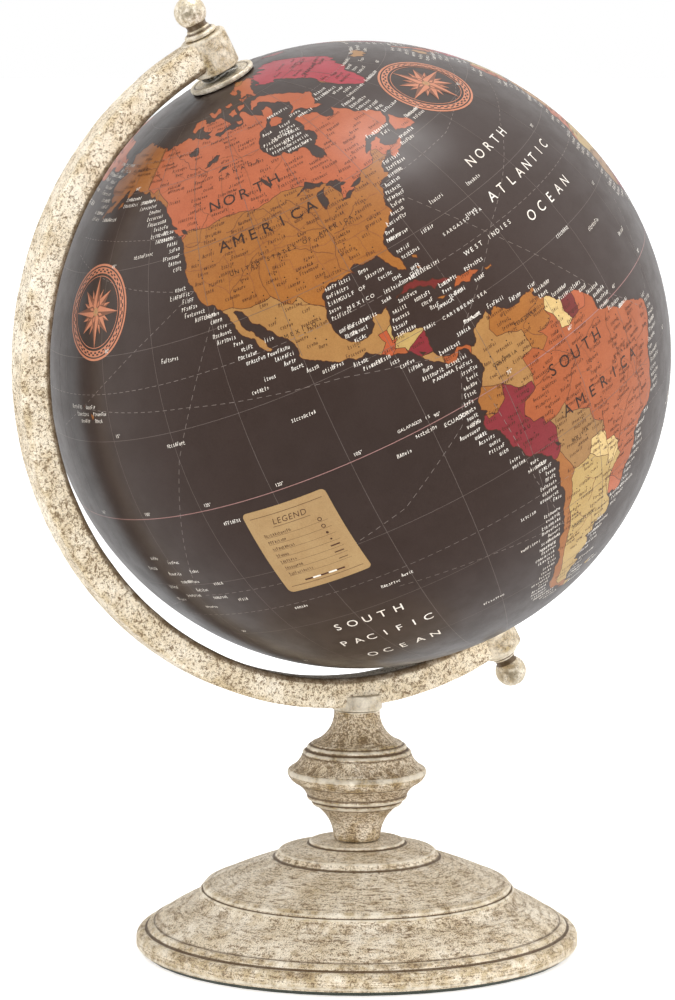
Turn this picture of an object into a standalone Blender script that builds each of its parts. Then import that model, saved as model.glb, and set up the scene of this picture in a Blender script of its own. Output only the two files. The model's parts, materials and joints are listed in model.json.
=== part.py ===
"""Desktop globe on a turned stand: a ball that spins on a tilted axle, held by a C-shaped arm.

Metres, +Z up. The origin is the centre of the stand's underside, the arm lies in the XZ plane
and the north pole leans towards -X. Lengths in the constants below are in millimetres.
"""

import math

import bmesh
import bpy
from mathutils import Matrix, Vector

MM = 0.001

# Ball and its axis
BALL_RADIUS = 101.6
BALL_WALL = 1.8
TILT_DEG = 28.0
EQUATOR_GAP = 0.3
JOINT_BAND_HALF = 5.0
JOINT_BAND_WALL = 1.4

# Axle and what runs on it
AXLE_RADIUS = 2.0
RUNNING_GAP = 0.1
BUSH_WALL = 2.1
BUSH_LENGTH = 7.5
BUSH_FLANGE_RADIUS = 7.0
BUSH_FLANGE = 1.2
CAP_RADIUS = 10.85
CAP_SHEET = 0.8
CAP_LIP = 1.5
WAVE_RADIUS = 6.2
WAVE_SHEET = 0.4
WAVE_RISE = 1.1
WAVE_COUNT = 3
THRUST_WASHER = 0.7

# Arm
ARM_THICKNESS = 9.9
ARM_DEPTH = 10.6
ARM_EDGE = 1.5
ARM_SHIFT = 4.0
ARM_BALL_GAP = 1.45
END_BOSS_RADIUS = 7.6
END_BOSS_PROUD = 0.4
STEM_BOSS_RADIUS = 8.2
STEM_BOSS_BELOW = 1.1

# Finials
FINIAL_SEAT_RADIUS = 5.4
FINIAL_BALL_RADIUS = 5.1
FINIAL_BALL_HEIGHT = 8.0
FINIAL_NECK_RADIUS = 3.3
AXLE_INTO_FINIAL = 6.2

# Base
BASE_RADIUS = 72.6
RIM_INSET = 3.6
TIER_TWO_RADIUS = 51.2
TIER_THREE_RADIUS = 26.3
PLATE_RADIUS = 15.7
RIM_HEIGHT = 6.0
TIER_ONE_HEIGHT = 12.6
TIER_TWO_HEIGHT = 11.6
TIER_THREE_HEIGHT = 4.3
BASE_WALL = 2.2
FELT_THICKNESS = 1.2
FELT_INSET = 2.6

# Stem
STEM_HEIGHT = 43.0
NECK_RADIUS = 7.5
FLANGE_RADIUS = 22.7
UPPER_BEAD_RADIUS = 15.9
LOWER_BEAD_RADIUS = 15.9
FOOT_RADIUS = 7.4

# Tie rod and its hardware
TIE_ROD_RADIUS = 2.5
TIE_ROD_INTO_ARM = 8.5
NUT_ACROSS_FLATS = 8.0
NUT_HEIGHT = 4.0
WASHER_RADIUS = 8.5
WASHER_THICKNESS = 1.4
SPRING_WASHER_SECTION = 1.3
SPRING_WASHER_RISE = 0.6
TIE_ROD_END = 4.0
PIN_RADIUS = 1.0
PIN_LENGTH = 7.0
PIN_OFFSET = 5.2
THREAD_DEPTH = 0.25
THREAD_PITCH = 1.2

# Clearance between pieces that touch
GAP = 0.3

# Facets round each turned piece
BALL_STEPS = 56
BASE_STEPS = 44
STEM_STEPS = 28
SMALL_STEPS = 20
BOSS_STEPS = 32
ROD_STEPS = 16
ARM_STEPS = 40

# Levels that follow from the sizes above
BALL_INNER = BALL_RADIUS - BALL_WALL
BUSH_RADIUS = AXLE_RADIUS + RUNNING_GAP + BUSH_WALL
POLE_HOLE = BUSH_RADIUS + GAP
FINIAL_BORE = AXLE_RADIUS + GAP
ARM_BORE = AXLE_RADIUS + GAP
TILT = math.radians(TILT_DEG)
ARM_INNER = BALL_RADIUS + ARM_BALL_GAP + ARM_SHIFT * math.sin(TILT)
ARM_OUTER = ARM_INNER + ARM_THICKNESS
PLATE_LEVEL = FELT_THICKNESS + GAP + RIM_HEIGHT + TIER_ONE_HEIGHT + TIER_TWO_HEIGHT + TIER_THREE_HEIGHT
STEM_FOOT = PLATE_LEVEL + GAP
STEM_TOP = STEM_FOOT + STEM_HEIGHT
BOSS_BOTTOM = STEM_TOP + GAP
BALL_CENTRE = BOSS_BOTTOM + STEM_BOSS_BELOW + ARM_OUTER
TIE_BORE = TIE_ROD_RADIUS + GAP + 0.1


def clear_scene():
    for obj in list(bpy.data.objects):
        bpy.data.objects.remove(obj)


def material(name, colour, roughness, metallic):
    made = bpy.data.materials.new(name)
    made.use_nodes = True
    shader = made.node_tree.nodes["Principled BSDF"]
    shader.inputs["Base Color"].default_value = (*colour, 1.0)
    shader.inputs["Roughness"].default_value = roughness
    shader.inputs["Metallic"].default_value = metallic
    made.diffuse_color = (*colour, 1.0)
    return made


def new_object(name, mesh, look, parent=None, location=(0.0, 0.0, 0.0), rotation=(0.0, 0.0, 0.0)):
    obj = bpy.data.objects.new(name, mesh)
    bpy.context.scene.collection.objects.link(obj)
    obj.parent = parent
    obj.location = [value * MM for value in location]
    obj.rotation_euler = rotation
    if look:
        mesh.materials.append(look)
    mesh.shade_smooth()
    mesh.set_sharp_from_angle(angle=math.radians(35.0))
    return obj


def arc(start, end, bulge, steps):
    """Points after start up to end on a circular arc; bulge is its rise to the left of the chord."""
    a = Vector(start)
    b = Vector(end)
    chord = b - a
    left = Vector((-chord.y, chord.x)).normalized()
    radius = (chord.length_squared / 4 + bulge * bulge) / (2 * bulge)
    centre = (a + b) / 2 + left * (bulge - radius)
    first = math.atan2(a.y - centre.y, a.x - centre.x)
    turn = math.atan2(b.y - centre.y, b.x - centre.x) - first
    turn = (turn + math.pi) % (2 * math.pi) - math.pi
    points = []
    for step in range(1, steps + 1):
        angle = first + turn * step / steps
        points.append((centre.x + abs(radius) * math.cos(angle), centre.y + abs(radius) * math.sin(angle)))
    return points


def turned_mesh(name, outline, steps, closed):
    """A solid of revolution about Z. The outline is (radius, height) points in millimetres.

    A closed outline makes a ring; an open one starts and ends on the axis.
    """
    mesh = bpy.data.meshes.new(name)
    build = bmesh.new()
    verts = [build.verts.new((radius * MM, 0.0, height * MM)) for radius, height in outline]
    pairs = list(zip(verts, verts[1:]))
    if closed:
        pairs.append((verts[-1], verts[0]))
    edges = [build.edges.new(pair) for pair in pairs]
    bmesh.ops.spin(
        build,
        geom=verts + edges,
        cent=(0.0, 0.0, 0.0),
        axis=(0.0, 0.0, 1.0),
        angle=2 * math.pi,
        steps=steps,
        use_merge=True,
    )
    bmesh.ops.remove_doubles(build, verts=build.verts, dist=1e-6)
    bmesh.ops.recalc_face_normals(build, faces=build.faces)
    build.to_mesh(mesh)
    build.free()
    return mesh


def cylinder(name, radius, bottom, top, steps=SMALL_STEPS):
    return turned_mesh(name, [(0.0, bottom), (radius, bottom), (radius, top), (0.0, top)], steps, False)


def combine(target, other, operation):
    modifier = target.modifiers.new(f"{operation.lower()} {other.name}", "BOOLEAN")
    modifier.object = other
    modifier.operation = operation
    modifier.solver = "EXACT"
    other.hide_render = True
    other.display_type = "WIRE"


def threaded_end(radius, start, end, direction):
    """Outline points of rolled thread crests from start to end, then a chamfer."""
    root = radius - THREAD_DEPTH
    count = int(abs(end - start) / THREAD_PITCH) - 1
    points = [(radius, start)]
    for turn in range(count):
        level = start + direction * THREAD_PITCH * (turn + 0.5)
        points.append((root, level))
        points.append((radius, level + direction * THREAD_PITCH * 0.5))
    points.append((root, end))
    return points


# ---------------------------------------------------------------- ball


def hemisphere_outline():
    """Half shell standing on the equator, with a rebate for the joint band and the pole hole."""
    foot = EQUATOR_GAP / 2
    hole = math.acos(POLE_HOLE / BALL_RADIUS)
    points = []
    outer_rows = 12
    for row in range(outer_rows + 1):
        angle = math.asin(foot / BALL_RADIUS) * (1 - row / outer_rows) + hole * row / outer_rows
        points.append((BALL_RADIUS * math.cos(angle), BALL_RADIUS * math.sin(angle)))
    rebate = JOINT_BAND_HALF + 2 * GAP
    land = math.asin(rebate / BALL_INNER)
    top = math.acos(POLE_HOLE / BALL_INNER)
    inner_rows = 8
    for row in range(inner_rows + 1):
        angle = top + (land - top) * row / inner_rows
        points.append((BALL_INNER * math.cos(angle), BALL_INNER * math.sin(angle)))
    points.append((points[-1][0], foot))
    return points


def ball_pieces(axis):
    shell = turned_mesh("hemisphere", hemisphere_outline(), BALL_STEPS, True)
    paper = material("varnished_map_print", (0.052, 0.038, 0.034), 0.3, 0.0)
    new_object("north_hemisphere", shell, paper, axis)
    new_object("south_hemisphere", shell.copy(), None, axis, rotation=(math.pi, 0.0, 0.0))
    land = math.sqrt(BALL_INNER**2 - (JOINT_BAND_HALF + 2 * GAP) ** 2)
    outer = land - GAP
    inner = outer - JOINT_BAND_WALL
    half = JOINT_BAND_HALF
    band = turned_mesh("band", [(outer, -half), (outer, half), (inner, half), (inner, -half)], BALL_STEPS, True)
    new_object("equator_joint_band", band, material("band_board", (0.42, 0.33, 0.22), 0.8, 0.0), axis)


def bush_outline():
    """Flanged bush for one pole: the flange seats inside the ball, the nose fills the pole hole."""
    bore = AXLE_RADIUS + RUNNING_GAP
    flange_top = math.sqrt(BALL_INNER**2 - BUSH_FLANGE_RADIUS**2) - GAP
    nose = BALL_RADIUS
    return [
        (bore, nose),
        (bore, nose - BUSH_LENGTH - BUSH_FLANGE),
        (BUSH_RADIUS, nose - BUSH_LENGTH - BUSH_FLANGE),
        (BUSH_RADIUS, flange_top - BUSH_FLANGE),
        (BUSH_FLANGE_RADIUS, flange_top - BUSH_FLANGE),
        (BUSH_FLANGE_RADIUS, flange_top),
        (BUSH_RADIUS, flange_top),
        (BUSH_RADIUS, nose),
    ]


def bushes(axis):
    mesh = turned_mesh("bush", bush_outline(), SMALL_STEPS, True)
    nylon = material("bush_nylon", (0.82, 0.80, 0.74), 0.5, 0.0)
    new_object("north_pole_bush", mesh, nylon, axis)
    new_object("south_pole_bush", mesh.copy(), None, axis, rotation=(math.pi, 0.0, 0.0))


def pole_cap(axis, brass):
    """Shallow pressed cap: its lip hugs the ball and its top turns under the wave washer."""
    hole = AXLE_RADIUS + 2 * GAP
    lip_foot = math.sqrt(BALL_RADIUS**2 - CAP_RADIUS**2) + GAP
    underside = BALL_RADIUS + GAP
    top = underside + CAP_SHEET
    outline = [(hole, underside), (CAP_RADIUS - 1.9, underside), (CAP_RADIUS - 1.2, lip_foot)]
    outline.append((CAP_RADIUS - 0.3, lip_foot))
    outline.extend(arc((CAP_RADIUS - 0.3, lip_foot), (CAP_RADIUS - 0.3, lip_foot + CAP_LIP), -0.35, 4))
    outline.append((CAP_RADIUS - 1.6, top))
    outline.append((hole, top))
    new_object("north_pole_cap", turned_mesh("cap", outline, BOSS_STEPS, True), brass, axis)
    return top


def wave_washer(axis, cap_top, steel):
    middle = cap_top + GAP + WAVE_RISE / 2 + WAVE_SHEET / 2
    half = WAVE_SHEET / 2
    hole = AXLE_RADIUS + 3 * GAP
    ring = [(hole, middle - half), (WAVE_RADIUS, middle - half), (WAVE_RADIUS, middle + half), (hole, middle + half)]
    mesh = turned_mesh("wave", ring, 36, True)
    for vert in mesh.vertices:
        turn = math.atan2(vert.co.y, vert.co.x)
        vert.co.z += WAVE_RISE / 2 * MM * math.sin(WAVE_COUNT * turn)
    new_object("north_wave_washer", mesh, steel, axis)
    return cap_top + GAP + WAVE_RISE + WAVE_SHEET + GAP


# ---------------------------------------------------------------- arm


def arm_section():
    """Rounded rectangle across the arm: (radius from the arc's centre, depth)."""
    half = ARM_DEPTH / 2
    edge = ARM_EDGE
    points = []
    corners = (
        (ARM_OUTER - edge, half - edge, 0.0),
        (ARM_INNER + edge, half - edge, 90.0),
        (ARM_INNER + edge, edge - half, 180.0),
        (ARM_OUTER - edge, edge - half, 270.0),
    )
    for across, deep, first in corners:
        for turn in (0.0, 45.0, 90.0):
            angle = math.radians(first + turn)
            points.append((across + edge * math.cos(angle), deep + edge * math.sin(angle)))
    return points


def pole_on_arc(sign):
    """Angle, at the arc's centre, of the arm's middle line where the pole axis crosses it."""
    middle = (ARM_INNER + ARM_OUTER) / 2
    lean = Vector((-math.sin(TILT), math.cos(TILT))) * sign
    shift = Vector((ARM_SHIFT, 0.0))
    along = -shift.dot(lean)
    reach = along + math.sqrt(along**2 + middle**2 - ARM_SHIFT**2)
    return math.atan2(lean.y * reach, lean.x * reach + ARM_SHIFT)


def arm_bar():
    """The arm's bar: its section spun about the arc's centre from the south pole to the north pole."""
    first = pole_on_arc(-1.0)
    sweep = (pole_on_arc(1.0) - first) % (2 * math.pi) - 2 * math.pi
    mesh = bpy.data.meshes.new("meridian_arm")
    build = bmesh.new()
    start = Matrix.Rotation(-first, 3, "Y")
    verts = [build.verts.new(start @ Vector((across * MM, deep * MM, 0.0))) for across, deep in arm_section()]
    face = build.faces.new(verts)
    bmesh.ops.spin(
        build,
        geom=[face] + list(face.edges) + verts,
        cent=(0.0, 0.0, 0.0),
        axis=(0.0, -1.0, 0.0),
        angle=sweep,
        steps=ARM_STEPS,
    )
    bmesh.ops.recalc_face_normals(build, faces=build.faces)
    build.to_mesh(mesh)
    build.free()
    return mesh


def arm_levels(north_boss_face):
    """Distances along the axis of the end bosses' faces: north inner, north outer, south inner, south outer."""
    offset = ARM_SHIFT * math.sin(TILT)
    across = math.sqrt(ARM_OUTER**2 - (ARM_SHIFT * math.cos(TILT)) ** 2)
    south_inner = BALL_RADIUS + ARM_BALL_GAP
    north_outer = across + offset + END_BOSS_PROUD
    south_outer = across - offset + END_BOSS_PROUD
    return north_boss_face, north_outer, south_inner, south_outer


def meridian_arm(axis, look, levels):
    north_inner, north_outer, south_inner, south_outer = levels
    arm = new_object("meridian_arm", arm_bar(), look, None, (-ARM_SHIFT, 0.0, BALL_CENTRE))
    north_mesh = cylinder("north_boss", END_BOSS_RADIUS, north_inner, north_outer, BOSS_STEPS)
    north = new_object("north_boss", north_mesh, None, axis)
    south_mesh = cylinder("south_boss", END_BOSS_RADIUS, -south_outer, -south_inner, BOSS_STEPS)
    south = new_object("south_boss", south_mesh, None, axis)
    inner_face = BALL_CENTRE - math.sqrt(ARM_INNER**2 - ARM_SHIFT**2)
    boss_top = inner_face + GAP
    stem_mesh = cylinder("stem_boss", STEM_BOSS_RADIUS, BOSS_BOTTOM, boss_top, BOSS_STEPS)
    stem_boss = new_object("stem_boss", stem_mesh, None)
    for boss in (north, south, stem_boss):
        combine(arm, boss, "UNION")
    bore = new_object("axle_bore", cylinder("axle_bore", ARM_BORE, -2 * ARM_OUTER, 2 * ARM_OUTER), None, axis)
    combine(arm, bore, "DIFFERENCE")
    tie_hole = cylinder("tie_hole", TIE_BORE, BOSS_BOTTOM - 1.0, BOSS_BOTTOM + TIE_ROD_INTO_ARM + 2 * GAP)
    combine(arm, new_object("tie_hole", tie_hole, None), "DIFFERENCE")
    combine(arm, pin_hole("arm_pin_hole"), "DIFFERENCE")
    return arm


# ---------------------------------------------------------------- stand


def base_outer():
    """Outer profile of the base, from its foot up to the centre hole: a rim and three stepped tiers."""
    foot = FELT_THICKNESS + GAP
    rim = foot + RIM_HEIGHT
    two = rim + TIER_ONE_HEIGHT
    three = two + TIER_TWO_HEIGHT
    rim_radius = BASE_RADIUS - RIM_INSET
    points = [(BASE_RADIUS - 0.7, foot), (BASE_RADIUS, foot + 0.8), (BASE_RADIUS, foot + 2.8)]
    points.extend(arc(points[-1], (rim_radius + 0.5, rim - 0.3), -0.9, 4))
    points.append((rim_radius, rim))
    points.extend(tier((rim_radius, rim), (TIER_TWO_RADIUS, two), 1.6, 2.4))
    points.extend(tier((TIER_TWO_RADIUS - 0.3, two + 0.2), (TIER_THREE_RADIUS, three), 1.6, 0.7))
    points.extend(tier((TIER_THREE_RADIUS - 0.2, three + 0.2), (PLATE_RADIUS, PLATE_LEVEL - 0.9), 0.9, 0.0))
    points.append((PLATE_RADIUS, PLATE_LEVEL - 0.4))
    points.append((PLATE_RADIUS - 0.4, PLATE_LEVEL))
    points.append((TIE_BORE, PLATE_LEVEL))
    return points


def tier(start, end, shoulder, sweep):
    """One tier: a rounded shoulder at its outer edge, a cone, and a small up-sweep at its inner end."""
    points = arc(start, (start[0] - 1.4 * shoulder, start[1] + 1.2 * shoulder), -0.3 * shoulder, 3)
    if sweep > 0:
        low = (end[0] + 2.2 * sweep, end[1] - 1.9 * sweep)
        points.append(low)
        points.extend(arc(low, (end[0] + 0.4, end[1] - 0.4), 0.25 * sweep, 3))
    points.append(end)
    return points


def base_inner():
    """Underside of the base, from the centre hole out to the foot, one wall below the tiers."""
    foot = FELT_THICKNESS + GAP
    rim = foot + RIM_HEIGHT
    two = rim + TIER_ONE_HEIGHT
    three = two + TIER_TWO_HEIGHT
    wall = BASE_WALL
    return [
        (TIE_BORE, three - wall + 1.2),
        (TIER_THREE_RADIUS - wall, three - wall + 1.2),
        (TIER_THREE_RADIUS, three - 2.0 * wall),
        (TIER_TWO_RADIUS - 5.5, two + 0.2 - 0.4 * wall),
        (TIER_TWO_RADIUS - 2.0 * wall, two - 1.2 * wall),
        (TIER_TWO_RADIUS + 2.0, two - 3.9 * wall),
        (BASE_RADIUS - RIM_INSET - 1.8 * wall, rim - 0.5 * wall),
        (BASE_RADIUS - RIM_INSET - 0.9 * wall, rim - 1.6 * wall),
        (BASE_RADIUS - 1.4 * wall, foot + 1.2),
        (BASE_RADIUS - 1.2 * wall, foot),
    ]


def base_pieces(look):
    shell = turned_mesh("base_shell", base_outer() + base_inner(), BASE_STEPS, True)
    new_object("base_shell", shell, look)
    felt = material("base_felt", (0.045, 0.05, 0.045), 0.95, 0.0)
    radius = BASE_RADIUS - FELT_INSET
    new_object("base_felt_disc", cylinder("base_felt_disc", radius, 0.0, FELT_THICKNESS, BASE_STEPS), felt)


def stem_outline():
    """Turned baluster, foot to top: flared foot, beaded bowl, sharp flange, twin beads and waisted neck."""
    foot = STEM_FOOT
    top = STEM_TOP
    bowl = foot + 11.4
    lower = bowl + 2.2
    edge = foot + 22.4
    upper = top - 11.4
    points = [(FOOT_RADIUS, foot), (FOOT_RADIUS + 0.3, foot + 1.4)]
    points.extend(arc(points[-1], (LOWER_BEAD_RADIUS - 2.3, bowl), 1.3, 6))
    points.extend(arc(points[-1], (LOWER_BEAD_RADIUS - 1.0, lower - 0.7), -0.45, 2))
    points.append((LOWER_BEAD_RADIUS - 0.8, lower - 0.2))
    points.extend(arc(points[-1], (LOWER_BEAD_RADIUS + 0.6, lower + 0.9), -0.45, 2))
    points.extend(arc(points[-1], (FLANGE_RADIUS - 3.4, edge - 4.0), 0.4, 3))
    points.append((FLANGE_RADIUS - 3.2, edge - 3.7))
    points.extend(arc(points[-1], (FLANGE_RADIUS, edge - 0.6), -0.5, 3))
    points.extend(arc(points[-1], (FLANGE_RADIUS - 0.4, edge + 1.1), -0.3, 2))
    points.extend(arc(points[-1], (UPPER_BEAD_RADIUS + 2.0, upper - 3.2), 0.6, 4))
    points.extend(arc(points[-1], (UPPER_BEAD_RADIUS + 1.2, upper - 1.9), -0.4, 2))
    points.append((UPPER_BEAD_RADIUS + 0.4, upper - 1.5))
    points.extend(arc(points[-1], (UPPER_BEAD_RADIUS - 0.3, upper - 0.1), -0.4, 2))
    points.append((UPPER_BEAD_RADIUS - 1.1, upper + 0.6))
    points.extend(arc(points[-1], (NECK_RADIUS, top), 2.2, 7))
    points.append((TIE_BORE, top))
    points.append((TIE_BORE, foot))
    return points


def pin_hole(name):
    """Cutter for the locating pin, half in the arm's boss and half in the stem."""
    middle = (STEM_TOP + BOSS_BOTTOM) / 2
    half = PIN_LENGTH / 2 + GAP
    return new_object(
        name,
        cylinder(name, PIN_RADIUS + GAP, -half, half, 16),
        None,
        None,
        (PIN_OFFSET, 0.0, middle),
    )


def stem_pieces(look, steel):
    stem = new_object("stem_baluster", turned_mesh("stem_baluster", stem_outline(), STEM_STEPS, True), look)
    combine(stem, pin_hole("stem_pin_hole"), "DIFFERENCE")
    middle = (STEM_TOP + BOSS_BOTTOM) / 2
    pin = cylinder("locating_pin", PIN_RADIUS, -PIN_LENGTH / 2, PIN_LENGTH / 2, 16)
    new_object("stem_locating_pin", pin, steel, None, (PIN_OFFSET, 0.0, middle))


def tie_rod_pieces(steel):
    """Threaded rod up through base and stem into the arm, with its washers and nut under the base."""
    plate = FELT_THICKNESS + GAP + RIM_HEIGHT + TIER_ONE_HEIGHT + TIER_TWO_HEIGHT - BASE_WALL + 1.2
    washer_top = plate - GAP
    washer_bottom = washer_top - WASHER_THICKNESS
    spring_top = washer_bottom - GAP
    spring_bottom = spring_top - SPRING_WASHER_SECTION - SPRING_WASHER_RISE
    nut_top = spring_bottom - GAP
    nut_bottom = nut_top - NUT_HEIGHT
    hole = TIE_ROD_RADIUS + GAP
    washer = [(hole, washer_bottom), (WASHER_RADIUS, washer_bottom), (WASHER_RADIUS, washer_top), (hole, washer_top)]
    new_object("tie_rod_washer", turned_mesh("tie_rod_washer", washer, SMALL_STEPS, True), steel)
    new_object("tie_rod_spring_washer", spring_washer_mesh(hole), steel, None, (0.0, 0.0, spring_bottom))
    tie_rod_nut(hole, nut_bottom, steel)
    low = nut_bottom - TIE_ROD_END
    high = BOSS_BOTTOM + TIE_ROD_INTO_ARM
    points = [(0.0, low)]
    points.extend(reversed(threaded_end(TIE_ROD_RADIUS, plate, low, -1.0)))
    points.extend(threaded_end(TIE_ROD_RADIUS, BOSS_BOTTOM, high, 1.0))
    points.append((0.0, high))
    new_object("stem_tie_rod", turned_mesh("stem_tie_rod", points, ROD_STEPS, False), steel)


def spring_washer_mesh(hole):
    """Split lock washer: a square section carried round most of a turn while it climbs."""
    section = SPRING_WASHER_SECTION
    mesh = bpy.data.meshes.new("tie_rod_spring_washer")
    build = bmesh.new()
    corners = ((hole, 0.0), (hole + 1.5 * section, 0.0), (hole + 1.5 * section, section), (hole, section))
    verts = [build.verts.new((radius * MM, 0.0, level * MM)) for radius, level in corners]
    face = build.faces.new(verts)
    steps = 24
    bmesh.ops.spin(
        build,
        geom=[face] + list(face.edges) + verts,
        cent=(0.0, 0.0, 0.0),
        axis=(0.0, 0.0, 1.0),
        dvec=(0.0, 0.0, SPRING_WASHER_RISE * MM / steps),
        angle=math.radians(346.0),
        steps=steps,
    )
    bmesh.ops.recalc_face_normals(build, faces=build.faces)
    build.to_mesh(mesh)
    build.free()
    return mesh


def tie_rod_nut(hole, bottom, steel):
    """Hexagon nut with chamfered corners and a round hole."""
    corner = NUT_ACROSS_FLATS / 2 / math.cos(math.pi / 6)
    top = bottom + NUT_HEIGHT
    outline = [(0.0, bottom), (corner - 0.7, bottom), (corner, bottom + 0.4)]
    outline += [(corner, top - 0.4), (corner - 0.7, top), (0.0, top)]
    nut = new_object("tie_rod_nut", turned_mesh("tie_rod_nut", outline, 6, False), steel)
    bore = new_object("nut_bore", cylinder("nut_bore", hole, bottom - 1.0, top + 1.0), None)
    combine(nut, bore, "DIFFERENCE")


# ---------------------------------------------------------------- axle and finials


def axle(axis, steel, levels):
    north_outer = levels[1]
    south_outer = levels[3]
    high = north_outer + AXLE_INTO_FINIAL
    low = -south_outer - AXLE_INTO_FINIAL
    points = [(0.0, low)]
    points.extend(reversed(threaded_end(AXLE_RADIUS, -south_outer, low, -1.0)))
    points.extend(threaded_end(AXLE_RADIUS, north_outer, high, 1.0))
    points.append((0.0, high))
    new_object("axle_rod", turned_mesh("axle_rod", points, ROD_STEPS, False), steel, axis)


def finial_outline():
    """Ball finial on a stepped collar, hollow for the axle's end. Its seat is at zero height."""
    neck = FINIAL_NECK_RADIUS
    ball = FINIAL_BALL_RADIUS
    centre = FINIAL_BALL_HEIGHT
    points = [(FINIAL_BORE, 0.0), (FINIAL_SEAT_RADIUS - 0.2, 0.0), (FINIAL_SEAT_RADIUS, 0.3)]
    points.extend(arc(points[-1], (FINIAL_SEAT_RADIUS - 0.5, 1.3), -0.15, 2))
    points.append((FINIAL_SEAT_RADIUS - 1.0, 1.5))
    points.extend(arc(points[-1], (neck + 0.5, 2.5), 0.2, 2))
    waist = centre - math.sqrt(ball**2 - neck**2)
    points.append((neck, max(2.9, waist - 0.4)))
    first = math.asin((waist - centre) / ball)
    rows = 8
    for row in range(rows):
        angle = first + (math.pi / 2 - first) * row / rows
        points.append((ball * math.cos(angle), centre + ball * math.sin(angle)))
    points.append((0.0, centre + ball))
    points.append((0.0, AXLE_INTO_FINIAL + 1.6))
    points.append((FINIAL_BORE, AXLE_INTO_FINIAL + 0.4))
    return points


def finials(axis, brass, levels):
    north_outer = levels[1]
    south_outer = levels[3]
    mesh = turned_mesh("finial", [*finial_outline()[1:], (FINIAL_BORE, 0.0)], SMALL_STEPS, True)
    new_object("north_finial", mesh, brass, axis, (0.0, 0.0, north_outer + GAP))
    new_object("south_finial", mesh.copy(), None, axis, (0.0, 0.0, -south_outer - GAP), (math.pi, 0.0, 0.0))


def thrust_washer(axis):
    near = BALL_RADIUS + GAP
    bore = AXLE_RADIUS + GAP
    outer = END_BOSS_RADIUS - 0.6
    ring = [(bore, -near), (bore, -near - THRUST_WASHER), (outer, -near - THRUST_WASHER), (outer, -near)]
    nylon = material("thrust_nylon", (0.78, 0.76, 0.70), 0.5, 0.0)
    new_object("south_thrust_washer", turned_mesh("thrust", ring, SMALL_STEPS, True), nylon, axis)


def main():
    clear_scene()
    axis = bpy.data.objects.new("pole_axis", None)
    bpy.context.scene.collection.objects.link(axis)
    axis.location = (0.0, 0.0, BALL_CENTRE * MM)
    axis.rotation_euler = (0.0, -TILT, 0.0)
    cast = material("whitewashed_aluminium", (0.62, 0.55, 0.45), 0.55, 0.35)
    brass = material("champagne_brass", (0.62, 0.52, 0.34), 0.35, 0.8)
    steel = material("zinc_steel", (0.55, 0.55, 0.54), 0.35, 0.9)
    ball_pieces(axis)
    bushes(axis)
    cap_top = pole_cap(axis, brass)
    levels = arm_levels(wave_washer(axis, cap_top, steel))
    meridian_arm(axis, cast, levels)
    axle(axis, steel, levels)
    finials(axis, brass, levels)
    thrust_washer(axis)
    base_pieces(cast)
    stem_pieces(cast, steel)
    tie_rod_pieces(steel)


main()
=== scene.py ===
"""Desktop globe on a whitewashed cast stand: the printed ball, its arm, finials, stem, base and floor.

Metres, +Z up. The ball turns on a leaning pole axis. Each function that makes a surface gives its
formula in words; sizes named _MM are in millimetres and directions on the map are in degrees.
"""

import json
import math

import bpy
import numpy as np
from bpy.props import FloatProperty, FloatVectorProperty, IntProperty, PointerProperty
from mathutils import Matrix, Vector
from mathutils.geometry import delaunay_2d_cdt


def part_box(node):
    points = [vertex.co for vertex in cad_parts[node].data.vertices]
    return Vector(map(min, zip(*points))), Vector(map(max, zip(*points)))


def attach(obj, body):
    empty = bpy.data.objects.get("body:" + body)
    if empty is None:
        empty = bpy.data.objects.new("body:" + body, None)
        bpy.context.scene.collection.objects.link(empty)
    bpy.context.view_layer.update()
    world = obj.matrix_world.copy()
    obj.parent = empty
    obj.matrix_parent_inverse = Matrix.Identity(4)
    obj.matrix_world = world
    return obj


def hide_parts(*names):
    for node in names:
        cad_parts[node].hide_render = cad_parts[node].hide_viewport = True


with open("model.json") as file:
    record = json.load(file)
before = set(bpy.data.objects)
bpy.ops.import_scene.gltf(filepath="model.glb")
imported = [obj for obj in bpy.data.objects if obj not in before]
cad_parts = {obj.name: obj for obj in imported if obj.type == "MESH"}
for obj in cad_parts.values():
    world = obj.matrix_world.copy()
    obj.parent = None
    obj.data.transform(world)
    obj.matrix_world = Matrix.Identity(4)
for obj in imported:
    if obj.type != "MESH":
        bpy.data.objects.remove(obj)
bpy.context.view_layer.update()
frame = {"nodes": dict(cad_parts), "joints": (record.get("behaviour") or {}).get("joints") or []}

bl_info = {
    "name": "Desktop globe",
    "version": (1, 0, 0),
    "blender": (4, 5, 0),
    "location": "3D View > Sidebar > Globe",
    "description": "Builds a desktop globe on a cast stand, one group of pieces at a time",
    "category": "Object",
}

MM = 0.001

# The arm in millimetres: radius of its middle line as cast and as drawn, radius of its outer face, and
# how far the centre of its arc is from the ball's
CAST_RADIUS_MM = 109.9
ARM_RADIUS_MM = 109.85
ARM_OUTSIDE_MM = 114.83
ARM_SHIFT_MM = 4.0

# Where the ball is and which way it faces
HINGE = frame["joints"][0]
CENTRE = np.array(HINGE["pos_m"])
NORTH = np.array(HINGE["axis"]) / np.linalg.norm(HINGE["axis"])
TILT = math.atan2(-NORTH[0], NORTH[2])
BALL_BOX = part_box("north_hemisphere")
BALL_RADIUS = (BALL_BOX[1].y - BALL_BOX[0].y) / 2
PRINT_RADIUS = BALL_RADIUS - 0.07 * MM
DEGREES_PER_METRE = 180 / math.pi / PRINT_RADIUS
VIEW_TURN = math.radians(-26.0)
FACING_MERIDIAN = -97.89

# The map's three directions: east and outward at the facing meridian, and north
_front = np.array((math.sin(VIEW_TURN), -math.cos(VIEW_TURN), 0.0))
_front = _front - NORTH * (_front @ NORTH)
OUTWARD = _front / np.linalg.norm(_front)
EAST = np.cross(NORTH, OUTWARD)

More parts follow.
